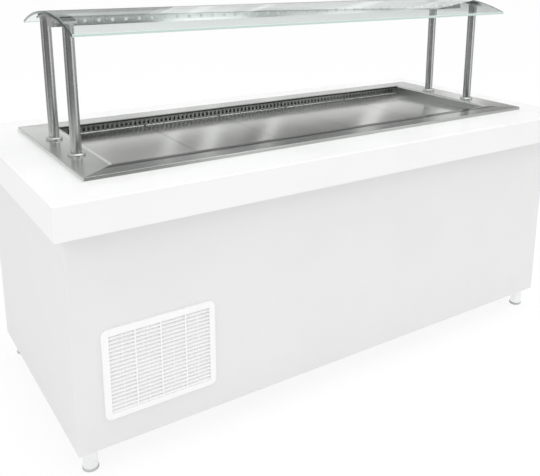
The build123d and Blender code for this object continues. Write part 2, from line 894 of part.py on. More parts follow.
def compressor():
    top = compressor_base + compressor_height
    shell = rod((unit_x, compressor_y, compressor_base), (unit_x, compressor_y, top), compressor_radius)
    shell = fillet(shell.edges().group_by(Axis.Z)[-1], compressor_dome)
    half_x = compressor_foot_length / 2
    half_y = compressor_foot_width / 2
    shell += block(unit_x - half_x, unit_x + half_x, compressor_y - half_y, compressor_y + half_y,
                   compressor_base - compressor_foot_sheet, compressor_base)
    side = unit_x - compressor_radius
    middle = compressor_base + compressor_height / 2
    shell += block(side - terminal_depth, unit_x, compressor_y - compressor_terminal / 2,
                   compressor_y + compressor_terminal / 2, middle - compressor_terminal / 2,
                   middle + compressor_terminal / 2)
    front = compressor_y - compressor_radius
    shell += rod((unit_x, compressor_y, suction_z), (unit_x, front - port_length, suction_z), port_radius)
    return shell + rod((unit_x, compressor_y, middle), (unit_x, compressor_y, top + port_length), port_radius)


def refrigerant_lines():
    suction = pipe([(unit_x, suction_y, suction_z), (unit_x, coil_rear_y, suction_z),
                    (riser_x, coil_rear_y, suction_z), (riser_x, coil_rear_y, coil_z),
                    (-coil_x, coil_rear_y, coil_z)], suction_radius)
    start = compressor_base + compressor_height + port_length
    discharge = pipe([(unit_x, compressor_y, start), (unit_x, compressor_y, condenser_last),
                      (line_x, compressor_y, condenser_last), (line_x, condenser_y, condenser_last),
                      (condenser_end, condenser_y, condenser_last)], discharge_radius)
    drier_start = condenser_y + drier_lead
    drier_end = drier_start + drier_length
    outlet = pipe([(condenser_end, condenser_y, condenser_first), (line_x, condenser_y, condenser_first),
                   (line_x, drier_start, condenser_first)], liquid_radius)
    drier = rod((line_x, drier_start, condenser_first), (line_x, drier_end, condenser_first), drier_radius)
    liquid = pipe([(line_x, drier_end, condenser_first), (line_x, coil_front_y, condenser_first),
                   (riser_x, coil_front_y, condenser_first), (riser_x, coil_front_y, coil_z),
                   (-coil_x, coil_front_y, coil_z)], liquid_radius)
    return group([suction, discharge, outlet, drier, liquid])


# Drain

def drain_pipe():
    def down(high, low, radius):
        return ring((drain_x, drain_y, high), (drain_x, drain_y, low), radius, drain_radius - drain_wall)

    upper = down(tank_floor + drain_lip_sheet, tank_floor, drain_radius + drain_lip_width)
    upper += down(tank_floor, valve_height + valve_length / 2, drain_radius)
    tail_top = drain_tail_end + drain_tail_length
    lower = down(valve_height - valve_length / 2, tail_top, drain_radius)
    bore = drain_tail_radius - drain_wall
    lower += ring((drain_x, drain_y, tail_top), (drain_x, drain_y, drain_tail_end), drain_tail_radius, bore)
    return group([upper, lower])


def drain_valve():
    low = valve_height - valve_length / 2
    high = valve_height + valve_length / 2
    body = rod((drain_x, drain_y, low), (drain_x, drain_y, high), valve_radius)
    boss_end = drain_y + valve_boss_length
    body += rod((drain_x, drain_y, valve_height), (drain_x, boss_end, valve_height), valve_boss_radius)
    body -= rod((drain_x, drain_y, low), (drain_x, drain_y, high), drain_radius - drain_wall)
    stem = boss_end - valve_stem_depth - shaft_end_gap
    return body - rod((drain_x, stem, valve_height), (drain_x, boss_end, valve_height),
                      valve_stem_radius + shaft_fit)


def drain_lever():
    boss_end = drain_y + valve_boss_length
    near = boss_end + lever_gap
    far = near + lever_thickness
    lever = rod((drain_x, boss_end - valve_stem_depth, valve_height), (drain_x, near, valve_height),
                valve_stem_radius)
    lever += rod((drain_x, near, valve_height), (drain_x, far, valve_height), lever_hub)
    lever += block(drain_x - lever_length, drain_x, near, far, valve_height - lever_width / 2,
                   valve_height + lever_width / 2)
    return lever


# Service door

def hinge_places():
    return [door_low + hinge_inset, door_high - hinge_inset]


def service_door():
    door = block(door_left, door_right, inner_y, body_y, door_low, door_high)
    middle = (door_low + door_high) / 2
    slot_x = door_left + (door_width - finger_inset - finger_width) / 2
    cuts = []
    for n in range(door_slot_count):
        z = middle + (n - (door_slot_count - 1) / 2) * door_slot_pitch
        cuts.append(block(slot_x - door_slot_length / 2, slot_x + door_slot_length / 2, inner_y, body_y,
                          z - door_slot_width / 2, z + door_slot_width / 2))
    pull = Plane(origin=(door_right - finger_inset, inner_y, middle), x_dir=(0, 0, 1), z_dir=(0, 1, 0))
    cuts.append(extrude(pull * SlotOverall(finger_length, finger_width), panel))
    door -= cuts
    half = hinge_height / 2
    hub = half - knuckle_share - hinge_gap
    for z in hinge_places():
        door += block(hinge_x + hinge_axis_out, hinge_x + hinge_leaf, body_y, body_y + hinge_leaf_sheet,
                      z - half, z + half)
        door += block(hinge_x, hinge_x + hinge_axis_out, body_y, body_y + hinge_leaf_sheet, z - hub, z + hub)
        door += rod((hinge_x, hinge_y, z - hub), (hinge_x, hinge_y, z + hub), hinge_radius)
        door -= rod((hinge_x, hinge_y, z - hub), (hinge_x, hinge_y, z + hub), hinge_pin_radius + hinge_fit)
    return door


def door_hinges():
    half = hinge_height / 2
    hub = half - knuckle_share
    hinges = []
    for z in hinge_places():
        hinge = block(hinge_x - hinge_leaf, hinge_x - hinge_axis_out, body_y, body_y + hinge_leaf_sheet,
                      z - half, z + half)
        for low, high in ((z - half, z - hub), (z + hub, z + half)):
            hinge += block(hinge_x - hinge_axis_out, hinge_x, body_y, body_y + hinge_leaf_sheet, low, high)
            hinge += rod((hinge_x, hinge_y, low), (hinge_x, hinge_y, high), hinge_radius)
        hinge += rod((hinge_x, hinge_y, z - half), (hinge_x, hinge_y, z + half), hinge_pin_radius)
        hinges.append(hinge)
    return group(hinges)


# Controls

def switch_places():
    return [fascia_x + switch_first, fascia_x + switch_first + switch_pitch]


def control_box():
    box_w = fascia_width / 2 - fascia_lip
    box_h = fascia_height / 2 - fascia_lip
    back = inner_y - box_depth
    box = block(fascia_x - fascia_width / 2, fascia_x + fascia_width / 2, body_y, fascia_face,
                fascia_z - fascia_height / 2, fascia_z + fascia_height / 2)
    shell = block(fascia_x - box_w, fascia_x + box_w, back, body_y, fascia_z - box_h, fascia_z + box_h)
    box += shell - block(fascia_x - box_w + box_sheet, fascia_x + box_w - box_sheet, back + box_sheet, body_y,
                         fascia_z - box_h + box_sheet, fascia_z + box_h - box_sheet)
    hole_w = switch_width / 2 + switch_side_gap
    hole_h = switch_height / 2 + switch_end_gap
    for x in switch_places():
        box -= block(x - hole_w, x + hole_w, body_y, fascia_face, fascia_z - hole_h, fascia_z + hole_h)
        for side in (-1, 1):
            box += block(x + side * hole_w, x + side * (hole_w + cheek_sheet), fascia_face - cheek_depth,
                         body_y, fascia_z - hole_h, fascia_z + hole_h)
        box -= rod((x - hole_w - cheek_sheet, pivot_y, fascia_z), (x + hole_w + cheek_sheet, pivot_y, fascia_z),
                   switch_pin_radius + switch_pin_fit)
    knob_x = fascia_x + knob_offset
    inside = body_y - knob_boss_length
    box += rod((knob_x, inside, fascia_z), (knob_x, body_y, fascia_z), knob_shaft_radius + knob_boss_wall)
    return box - rod((knob_x, inside, fascia_z), (knob_x, fascia_face, fascia_z), knob_shaft_radius + shaft_fit)


def rocker_switch(x):
    half = switch_height / 2
    rise = half * tan(radians(switch_tilt))
    outline = Polyline((switch_crown + rise, -half), (switch_crown, 0), (switch_crown + rise, half), (0, half),
                       (-switch_keel, half / 2), (-switch_keel, -half / 2), (0, -half), close=True)
    paddle = extrude(Plane.YZ * make_face(outline), switch_width / 2, both=True)
    pin = switch_width / 2 + switch_side_gap + cheek_sheet
    paddle += rod((-pin, 0, 0), (pin, 0, 0), switch_pin_radius)
    return Pos(x, pivot_y, fascia_z) * Rot(-switch_tilt, 0, 0) * paddle


def thermostat_knob():
    x = fascia_x + knob_offset
    near = fascia_face + knob_gap
    far = near + knob_height
    knob = rod((x, near, fascia_z), (x, far - knob_grip_rise, fascia_z), knob_radius)
    knob += block(x - knob_grip / 2, x + knob_grip / 2, far - knob_grip_rise, far,
                  fascia_z - knob_radius + knob_grip / 2, fascia_z + knob_radius - knob_grip / 2)
    return knob + rod((x, body_y - knob_boss_length, fascia_z), (x, near, fascia_z), knob_shaft_radius)


def cable_gland():
    head_end = body_y + gland_head_length
    nut_end = inner_y - gland_nut_length
    head = Plane(origin=(gland_x, body_y, gland_z), x_dir=(1, 0, 0), z_dir=(0, 1, 0))
    gland = extrude(head * RegularPolygon(gland_head, 6), gland_head_length)
    gland += rod((gland_x, inner_y, gland_z), (gland_x, body_y, gland_z), gland_thread)
    nut = Plane(origin=(gland_x, inner_y, gland_z), x_dir=(1, 0, 0), z_dir=(0, -1, 0))
    gland += extrude(nut * RegularPolygon(gland_head, 6), gland_nut_length)
    return gland - rod((gland_x, nut_end, gland_z), (gland_x, head_end, gland_z), gland_bore)


# Canopy

def canopy_post(x, y):
    post = rod((x, y, flange_top), (x, y, post_top), post_radius)
    post -= rod((x, y, flange_top + post_plug), (x, y, post_top), post_radius - post_wall)
    tail = board_under - washer_sheet - nut_height - post_stud_tail
    return post + rod((x, y, tail), (x, y, flange_top), post_stud_radius)


def post_collars():
    rings = []
    for x, y in corners(post_x, post_y):
        outer = post_radius + collar_fit + collar_width
        collar = rod((x, y, flange_top), (x, y, flange_top + collar_height), outer)
        collar = chamfer(collar.edges().group_by(Axis.Z)[-1], collar_chamfer)
        rings.append(collar - rod((x, y, flange_top), (x, y, flange_top + collar_height),
                                  post_radius + collar_fit))
    return group(rings)


def post_nuts():
    nuts = []
    seat = board_under - washer_sheet
    for x, y in corners(post_x, post_y):
        nut = rod((x, y, seat), (x, y, board_under), washer_radius)
        nut += extrude(Plane(origin=(x, y, seat - nut_height)) * RegularPolygon(nut_radius, 6), nut_height)
        nuts.append(nut - rod((x, y, seat - nut_height), (x, y, board_under), post_stud_radius + stud_fit))
    return group(nuts)


def canopy_cradles():
    half = degrees(asin((post_y + cradle_reach) / cradle_outer))
    cradles = []
    for side in (-1, 1):
        x = side * post_x
        bar = extrude(arc_band(cradle_inner, cradle_outer, -half, half), cradle_width / 2, both=True)
        bar = Pos(x, 0, 0) * bar
        inside = rod((x - cradle_width, 0, glass_axis), (x + cradle_width, 0, glass_axis),
                     (cradle_inner + cradle_outer) / 2)
        for y in (-post_y, post_y):
            bar += rod((x, y, post_top), (x, y, crest), post_radius) & inside
            bar += rod((x, y, post_top - spigot_length), (x, y, post_top), post_radius - post_wall - spigot_fit)
        cradles.append(bar)
    return group(cradles)


def glass_pads():
    middle = degrees(asin(post_y / cradle_outer))
    half = degrees(asin(pad_size / 2 / cradle_outer))
    pads = []
    for side_x, side_y in corners(1, 1):
        band = arc_band(cradle_outer + pad_fit, glass_inner - pad_fit,
                        side_y * middle - half, side_y * middle + half)
        pads.append(Pos(side_x * post_x, 0, 0) * extrude(band, pad_size / 2, both=True))
    return group(pads)


def glass_canopy():
    half = degrees(asin(glass_chord / 2 / glass_outer))
    return extrude(arc_band(glass_inner, glass_outer, -half, half), glass_length / 2, both=True)


def lens_places():
    count = int((2 * channel_x - 2 * lens_margin) / lens_pitch) + 1
    return [(n - (count - 1) / 2) * lens_pitch for n in range(count)]


def light_channel():
    half = channel_width / 2
    inside = half - channel_sheet
    end = channel_x - channel_sheet
    middle = (channel_base + channel_top) / 2
    channel = block(-channel_x, channel_x, -half, half, channel_base, channel_top)
    channel -= block(-end, end, -inside, inside, channel_base + channel_sheet, channel_top - channel_sheet)
    mouth = half - channel_lip
    channel -= block(-end, end, -mouth, mouth, channel_base, channel_base + channel_sheet)
    return channel - [rod((x, -half, middle), (x, half, middle), lens_radius) for x in lens_places()]


def lens_strips():
    inside = channel_width / 2 - channel_sheet
    outside = channel_width / 2 + lens_proud
    middle = (channel_base + channel_top) / 2
    end = channel_x - channel_sheet - diffuser_fit
    strips = []
    for side in (-1, 1):
        strip = block(-end, end, side * inside, side * (inside - lens_strip_thickness),
                      middle - lens_strip_height / 2, middle + lens_strip_height / 2)
        strip += [rod((x, side * inside, middle), (x, side * outside, middle), lens_radius - lens_fit)
                  for x in lens_places()]
        strips.append(strip)
    return group(strips)


def light_diffuser():
    half = channel_width / 2 - channel_sheet - diffuser_fit
    end = channel_x - channel_sheet - diffuser_fit
    seat = channel_base + channel_sheet
    return block(-end, end, -half, half, seat, seat + diffuser_thickness)


nodes = {
    "base_frame": base_frame(),
    "upper_frame": upper_frame(),
    "cabinet_floor": cabinet_floor(),
    "front_panel": front_panel(),
    "left_end_panel": end_panel(-1),
    "right_end_panel": end_panel(1),
    "rear_panel": rear_panel(),
    "vent_grille": vent_grille(),
    "worktop": worktop(),
    "well_flange": well_flange(),
    "flange_stiffener": flange_stiffener(),
    "well_tank": well_tank(),
    "well_insulation": well_insulation(),
    "rear_air_panel": rear_air_panel(),
    "front_air_panel": front_air_panel(),
    "evaporator_fins": evaporator_fins(),
    "evaporator_tubes": evaporator_tubes(),
    "evaporator_fan_motors": evaporator_fan_motors(),
    "unit_tray": unit_tray(),
    "compressor": compressor(),
    "compressor_mounts": compressor_mounts(),
    "condenser_fins": condenser_fins(),
    "condenser_tubes": condenser_tubes(),
    "fan_shroud": fan_shroud(),
    "condenser_fan": condenser_fan(),
    "condenser_fan_motor": condenser_fan_motor(),
    "refrigerant_lines": refrigerant_lines(),
    "drain_pipe": drain_pipe(),
    "drain_valve": drain_valve(),
    "drain_lever": drain_lever(),
    "service_door": service_door(),
    "door_hinges": door_hinges(),
    "control_box": control_box(),
    "power_switch": rocker_switch(switch_places()[0]),
    "light_switch": rocker_switch(switch_places()[1]),
    "thermostat_knob": thermostat_knob(),
    "cable_gland": cable_gland(),
    "post_collars": post_collars(),
    "post_nuts": post_nuts(),
    "canopy_cradles": canopy_cradles(),
    "glass_pads": glass_pads(),
    "glass_canopy": glass_canopy(),
    "light_channel": light_channel(),
    "lens_strips": lens_strips(),
    "light_diffuser": light_diffuser(),
}
for name, sx, sy in (("front_left", -1, -1), ("front_right", 1, -1), ("rear_left", -1, 1), ("rear_right", 1, 1)):
    nodes[f"foot_{name}"] = levelling_foot(sx * foot_x, sy * foot_y)
    nodes[f"post_{name}"] = canopy_post(sx * post_x, sy * post_y)
for number in range(1, plate_count + 1):
    nodes[f"floor_plate_{number}"] = floor_plate(number)
for number in range(1, well_fan_count + 1):
    nodes[f"evaporator_fan_{number}"] = evaporator_fan(number)

os.makedirs("parts", exist_ok=True)
for name, shape in nodes.items():
    export_step(shape, f"parts/{name}.step")
print(len(nodes), "nodes written")
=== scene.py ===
import json
import math

import bmesh
import bpy
from mathutils import Matrix, Vector


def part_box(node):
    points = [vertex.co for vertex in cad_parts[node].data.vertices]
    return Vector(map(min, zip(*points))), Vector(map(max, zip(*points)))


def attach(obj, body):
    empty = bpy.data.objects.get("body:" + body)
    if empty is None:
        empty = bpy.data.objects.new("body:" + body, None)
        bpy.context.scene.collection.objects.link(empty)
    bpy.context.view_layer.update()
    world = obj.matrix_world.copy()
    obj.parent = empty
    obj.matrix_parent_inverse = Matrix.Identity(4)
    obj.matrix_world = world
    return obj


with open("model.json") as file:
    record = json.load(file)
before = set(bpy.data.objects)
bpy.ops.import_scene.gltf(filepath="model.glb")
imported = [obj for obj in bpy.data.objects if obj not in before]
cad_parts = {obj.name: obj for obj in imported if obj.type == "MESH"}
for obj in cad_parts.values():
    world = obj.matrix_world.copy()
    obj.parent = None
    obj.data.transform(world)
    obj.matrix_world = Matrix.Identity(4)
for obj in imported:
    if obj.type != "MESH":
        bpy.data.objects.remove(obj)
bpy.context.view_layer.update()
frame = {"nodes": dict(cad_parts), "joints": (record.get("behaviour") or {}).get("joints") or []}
nodes = frame["nodes"]
scene = bpy.context.scene
print("frame loaded:", len(nodes), "nodes")


# Small helpers for node trees

def fill(tree, node, inputs):  # sets each input to a number, or links it to a socket
    for key, value in inputs.items():
        if isinstance(value, bpy.types.NodeSocket):
            tree.links.new(value, node.inputs[key])
        else:
            node.inputs[key].default_value = value
    return node


def addNode(tree, kind, inputs=None, **settings):
    node = tree.nodes.new(kind)
    for key, value in settings.items():
        setattr(node, key, value)
    return fill(tree, node, inputs or {})


def sums(tree, operation, first, second=0.0):
    return addNode(tree, "ShaderNodeMath", {0: first, 1: second}, operation=operation).outputs[0]


def scaled(tree, place, scale):  # stretches a pattern along the axes
    return addNode(tree, "ShaderNodeMapping", {"Vector": place, "Scale": scale}).outputs[0]


def noise(tree, place, scale, detail=4.0, rough=0.55):
    inputs = {"Vector": place, "Scale": scale, "Detail": detail, "Roughness": rough}
    return addNode(tree, "ShaderNodeTexNoise", inputs).outputs["Fac"]


def spread(tree, value, low, high, fromLow=0.3, fromHigh=0.7):  # noise to a range of values
    inputs = {"Value": value, "From Min": fromLow, "From Max": fromHigh, "To Min": low, "To Max": high}
    return addNode(tree, "ShaderNodeMapRange", inputs).outputs["Result"]


def tones(tree, value, dark, light):  # from one colour to another
    def colour(c):
        return c if isinstance(c, bpy.types.NodeSocket) else (*c, 1.0)
    inputs = {0: value, 6: colour(dark), 7: colour(light)}
    return addNode(tree, "ShaderNodeMix", inputs, data_type="RGBA").outputs[2]


def mottled(tree, patch, fine, share):  # patches for a share of the pattern, and fine detail for the rest
    return sums(tree, "ADD", sums(tree, "MULTIPLY", patch, share), sums(tree, "MULTIPLY", fine, 1.0 - share))


def blendOf(tree, value, first, second):  # from one number to another
    return addNode(tree, "ShaderNodeMix", {0: value, 2: first, 3: second}, data_type="FLOAT").outputs[0]


def bump(tree, height, depth, under=None):
    inputs = {"Height": height, "Strength": 1.0, "Distance": depth}
    if under is not None:
        inputs["Normal"] = under
    return addNode(tree, "ShaderNodeBump", inputs).outputs["Normal"]


def axes(tree, place):  # x, y and z of a place
    node = addNode(tree, "ShaderNodeSeparateXYZ", {"Vector": place})
    return node.outputs[0], node.outputs[1], node.outputs[2]


def startMaterial(name):
    material = bpy.data.materials.new(name)
    material.use_nodes = True
    tree = material.node_tree
    place = addNode(tree, "ShaderNodeTexCoord").outputs["Object"]
    return material, tree, tree.nodes["Principled BSDF"], place


# A finish of soft patches and a fine grain, for boards, paints, plastics and cast or bare metal

finishPatchShare = 0.8


def makeFinish(name, look):
    material, tree, shader, place = startMaterial(name)
    patch = noise(tree, place, look["patch"], detail=6.0, rough=0.6)
    grain = noise(tree, scaled(tree, place, look.get("stretch", (1, 1, 1))), look["grain"], detail=3.0)
    mottle = mottled(tree, patch, grain, finishPatchShare)
    fill(tree, shader, {
        "Base Color": tones(tree, spread(tree, mottle, 0.0, 1.0), look["dark"], look["light"]),
        "Roughness": spread(tree, mottle, *look["rough"]),
        "Metallic": look.get("metal", 0.0),
        "Normal": bump(tree, grain, look["depth"]),
    })
    for key, value in look.get("also", {}).items():
        shader.inputs[key].default_value = value
    return material


boardLook = {"dark": (0.815, 0.816, 0.813), "light": (0.845, 0.846, 0.844), "patch": 3.5, "grain": 600.0,
             "rough": (0.38, 0.5), "depth": 0.00003}
worktopLook = {"dark": (0.905, 0.906, 0.903), "light": (0.93, 0.931, 0.929), "patch": 4.0, "grain": 700.0,
               "rough": (0.28, 0.38), "depth": 0.00002}
grilleLook = {"dark": (0.955, 0.956, 0.953), "light": (0.975, 0.976, 0.974), "patch": 14.0, "grain": 900.0,
              "rough": (0.24, 0.34), "depth": 0.00002, "also": {"Coat Weight": 0.15, "Coat Roughness": 0.12}}
framePaintLook = {"dark": (0.4, 0.42, 0.43), "light": (0.48, 0.5, 0.51), "patch": 9.0, "grain": 800.0,
                  "rough": (0.42, 0.58), "depth": 0.00008}
finLook = {"dark": (0.66, 0.67, 0.68), "light": (0.8, 0.81, 0.82), "patch": 12.0, "grain": 300.0,
           "stretch": (1, 1, 4), "rough": (0.26, 0.4), "depth": 0.00003, "metal": 1.0}
copperLook = {"dark": (0.5, 0.25, 0.14), "light": (0.8, 0.46, 0.3), "patch": 16.0, "grain": 400.0,
              "rough": (0.2, 0.42), "depth": 0.00003, "metal": 1.0}
compressorLook = {"dark": (0.018, 0.018, 0.02), "light": (0.035, 0.035, 0.038), "patch": 11.0, "grain": 320.0,
                  "rough": (0.26, 0.4), "depth": 0.00012, "also": {"Coat Weight": 0.3, "Coat Roughness": 0.2}}
motorLook = {"dark": (0.22, 0.23, 0.24), "light": (0.34, 0.35, 0.36), "patch": 18.0, "grain": 500.0,
             "rough": (0.4, 0.6), "depth": 0.00015, "metal": 1.0}
fanLook = {"dark": (0.045, 0.045, 0.048), "light": (0.07, 0.07, 0.073), "patch": 20.0, "grain": 900.0,
           "rough": (0.42, 0.56), "depth": 0.00004}
foamLook = {"dark": (0.72, 0.65, 0.46), "light": (0.86, 0.8, 0.62), "patch": 25.0, "grain": 350.0,
            "rough": (0.75, 0.92), "depth": 0.0005}
rubberLook = {"dark": (0.03, 0.03, 0.031), "light": (0.055, 0.055, 0.056), "patch": 30.0, "grain": 700.0,
              "rough": (0.6, 0.78), "depth": 0.00008}
drainLook = {"dark": (0.56, 0.58, 0.59), "light": (0.65, 0.67, 0.68), "patch": 14.0, "grain": 600.0,
             "rough": (0.38, 0.52), "depth": 0.00004}
leverLook = {"dark": (0.5, 0.03, 0.022), "light": (0.66, 0.05, 0.04), "patch": 20.0, "grain": 700.0,
             "rough": (0.3, 0.42), "depth": 0.00003}
fasciaLook = {"dark": (0.25, 0.26, 0.275), "light": (0.31, 0.32, 0.335), "patch": 12.0, "grain": 900.0,
              "rough": (0.45, 0.6), "depth": 0.00016}
controlLook = {"dark": (0.028, 0.028, 0.031), "light": (0.045, 0.045, 0.049), "patch": 30.0, "grain": 1200.0,
               "rough": (0.3, 0.42), "depth": 0.00003}
glandLook = {"dark": (0.05, 0.05, 0.055), "light": (0.08, 0.08, 0.085), "patch": 25.0, "grain": 900.0,
             "rough": (0.4, 0.55), "depth": 0.00004}
zincLook = {"dark": (0.52, 0.53, 0.54), "light": (0.68, 0.69, 0.7), "patch": 45.0, "grain": 500.0,
            "rough": (0.26, 0.42), "depth": 0.00004, "metal": 1.0}
opalLook = {"dark": (0.8, 0.81, 0.815), "light": (0.85, 0.86, 0.865), "patch": 9.0, "grain": 900.0,
            "rough": (0.32, 0.42), "depth": 0.00002}
lensLook = {"dark": (0.68, 0.69, 0.7), "light": (0.76, 0.77, 0.78), "patch": 40.0, "grain": 900.0,
            "rough": (0.2, 0.3), "depth": 0.00002,
            "also": {"Coat Weight": 0.2, "Coat Roughness": 0.1, "Emission Color": (1.0, 1.0, 1.0, 1.0),
                     "Emission Strength": 0.12}}
sealLook = {"dark": (0.74, 0.75, 0.745), "light": (0.82, 0.83, 0.825), "patch": 30.0, "grain": 300.0,
            "rough": (0.34, 0.48), "depth": 0.00006}
collarLook = {"dark": (0.5, 0.512, 0.506), "light": (0.58, 0.592, 0.586), "patch": 9.0, "grain": 700.0,
              "rough": (0.24, 0.34), "depth": 0.00001, "metal": 1.0}
printLook = {"dark": (0.8, 0.8, 0.79), "light": (0.88, 0.88, 0.87), "patch": 60.0, "grain": 1500.0,
             "rough": (0.45, 0.6), "depth": 0.00001}
# painted light: the filter fleece glows a little, standing in for daylight let through it from the front
glowingFleeceLook = {"dark": (0.93, 0.931, 0.93), "light": (0.96, 0.961, 0.96), "patch": 40.0, "grain": 420.0,
              "rough": (0.8, 0.95), "depth": 0.0003,
              "also": {"Emission Color": (1.0, 1.0, 1.0, 1.0), "Emission Strength": 0.25}}

whiteBoard = makeFinish("white_board", boardLook)
worktopBoard = makeFinish("worktop_board", worktopLook)
grillePlastic = makeFinish("grille_plastic", grilleLook)
framePaint = makeFinish("frame_paint", framePaintLook)
finAluminium = makeFinish("fin_aluminium", finLook)
copperPipe = makeFinish("copper_pipe", copperLook)
compressorPaint = makeFinish("compressor_paint", compressorLook)
motorMetal = makeFinish("motor_metal", motorLook)
fanPlastic = makeFinish("fan_plastic", fanLook)
foamBoard = makeFinish("foam_board", foamLook)
rubber = makeFinish("rubber", rubberLook)
drainPlastic = makeFinish("drain_plastic", drainLook)
leverPlastic = makeFinish("lever_plastic", leverLook)
fasciaPaint = makeFinish("fascia_paint", fasciaLook)
controlPlastic = makeFinish("control_plastic", controlLook)
glandPlastic = makeFinish("gland_plastic", glandLook)
zincPlate = makeFinish("zinc_plate", zincLook)
opalPlastic = makeFinish("opal_plastic", opalLook)
lensPlastic = makeFinish("lens_plastic", lensLook)
sealant = makeFinish("sealant", sealLook)
whitePrint = makeFinish("white_print", printLook)
glowingFilterFleece = makeFinish("filter_fleece", glowingFleeceLook)
collarSteel = makeFinish("collar_steel", collarLook)
print("plain finishes made")


# Brushed sheet steel: scratches along one axis, and a gloss drawn out at right angles to them

steelPatchShare = 0.6


def acrossBrush(tree, along):
    normal = addNode(tree, "ShaderNodeNewGeometry").outputs["Normal"]
    cross = addNode(tree, "ShaderNodeVectorMath", {0: normal, 1: along}, operation="CROSS_PRODUCT").outputs[0]
    nudge = (0.011, 0.017, 0.023)  # keeps a direction where the brushing meets a face end on
    return addNode(tree, "ShaderNodeVectorMath", {0: cross, 1: nudge}, operation="ADD").outputs[0]


def brushLines(tree, place, look, along):
    stretch = tuple(look["long"] if axis == along else look["fine"] for axis in "XYZ")
    return noise(tree, scaled(tree, place, stretch), scale=1.0, rough=0.65)


def leaning(tree, tilt):  # the face's normal, leaning a little
    flat = addNode(tree, "ShaderNodeNewGeometry").outputs["Normal"]
    leant = addNode(tree, "ShaderNodeVectorMath", {0: flat, 1: tilt}, operation="ADD").outputs[0]
    return addNode(tree, "ShaderNodeVectorMath", {0: leant}, operation="NORMALIZE").outputs[0]


# the last argument mixes painted shade into the colour, towards the look's shade tone, or its dark tone if it
# has none
def steelShader(tree, shader, place, look, lines, along, normal=None, paintedShade=0.0):
    patch = noise(tree, place, look["patch"], rough=0.5)
    wave = noise(tree, place, look["wave"], detail=1.0, rough=0.4)
    mottle = mottled(tree, patch, lines, steelPatchShare)
    colour = tones(tree, spread(tree, mottle, 0.0, 1.0), look["dark"], look["light"])
    rough, drawn = spread(tree, mottle, *look["rough"]), look["drawn"]
    if "rear" in look:  # brushed coarser towards the rear
        rear = spread(tree, axes(tree, place)[1], 0.0, 1.0, *look["rear"])
        rough = blendOf(tree, rear, rough, look["rearRough"])
        drawn = blendOf(tree, rear, drawn, look["rearDrawn"])
    fill(tree, shader, {
        "Base Color": tones(tree, paintedShade, colour, look.get("paintedShade", look["dark"])),
        "Metallic": 1.0,
        "Roughness": rough,
        "Anisotropic": drawn,
        "Tangent": acrossBrush(tree, along),
        "Normal": bump(tree, lines, look["depth"], bump(tree, wave, look["dent"], normal)),
    })


def makeSteel(name, look, along):
    material, tree, shader, place = startMaterial(name)
    direction = tuple(1.0 if axis == along else 0.0 for axis in "XYZ")
    slope = sums(tree, "MULTIPLY", axes(tree, place)[1], look.get("crown", 0.0))
    normal = leaning(tree, addNode(tree, "ShaderNodeCombineXYZ", {"Y": slope}).outputs[0])
    steelShader(tree, shader, place, look, brushLines(tree, place, look, along), direction, normal)
    return material


plateLook = {"dark": (0.56, 0.572, 0.55), "light": (0.66, 0.67, 0.65), "patch": 2.6, "rough": (0.13, 0.2),
             "wave": 3.0, "dent": 0.0016, "long": 7.0, "fine": 900.0, "depth": 0.00003, "drawn": 0.5,
             "crown": 0.18, "rear": (0.1, 0.16), "rearRough": 0.23, "rearDrawn": 0.97}
wellLook = {"dark": (0.4, 0.41, 0.397), "light": (0.48, 0.49, 0.477), "patch": 3.0, "rough": (0.24, 0.34),
            "wave": 4.0, "dent": 0.0008, "long": 6.0, "fine": 900.0, "depth": 0.00004, "drawn": 0.4}
# painted shade: the air panels take a darker copy of the well steel, for the shade down in the well
shadedAirLook = {**wellLook, "dark": (0.2, 0.204, 0.198), "light": (0.27, 0.275, 0.268)}
channelLook = {"dark": (0.82, 0.827, 0.827), "light": (0.88, 0.886, 0.886), "patch": 5.0,
               "rough": (0.1, 0.17), "wave": 2.5, "dent": 0.0004, "long": 5.0, "fine": 900.0,
               "depth": 0.00001, "drawn": 0.3}
hingeLook = {"dark": (0.56, 0.565, 0.565), "light": (0.66, 0.665, 0.665), "patch": 14.0,
             "rough": (0.25, 0.36), "wave": 9.0, "dent": 0.0001, "long": 20.0, "fine": 1200.0,
             "depth": 0.00002, "drawn": 0.3}

plateSteel = makeSteel("plate_steel", plateLook, "Y")
shadedAirSteel = makeSteel("air_panel_steel", shadedAirLook, "X")
wellSteel = makeSteel("well_steel", wellLook, "X")
channelSteel = makeSteel("channel_steel", channelLook, "X")
hingeSteel = makeSteel("hinge_steel", hingeLook, "Z")


# Flange: brushed along each side and across each end to a mitre, with a rolled inner edge, and painted shade
# along the inner edges of the front and back strips and over the front strip

flangeLook = {"dark": (0.55, 0.565, 0.545), "light": (0.66, 0.672, 0.655), "patch": 3.0,
              "rough": (0.16, 0.26), "wave": 3.5, "dent": 0.0009, "long": 6.0, "fine": 1000.0,
              "depth": 0.00003, "drawn": 0.4,
              "innerX": 0.818, "innerY": 0.275, "endWidth": 0.122, "sideWidth": 0.095,
              "crown": 0.1, "roll": (0.02, 0.01), "lean": 0.2,
              # painted shade: a near-black tone along the inner edges of the side strips, narrower at the
              # back, and over the front strip, most towards its left end, standing in for the shadow under
              # the inner edge and for dark reflections
              "paintedShade": (0.035, 0.037, 0.035), "paintedShadeWidth": (0.04, 0.031), "paintedShadeBack": 0.026,
              "paintedShadeFront": (0.57, 0.31), "paintedShadeAlong": (-0.75, -0.5)}


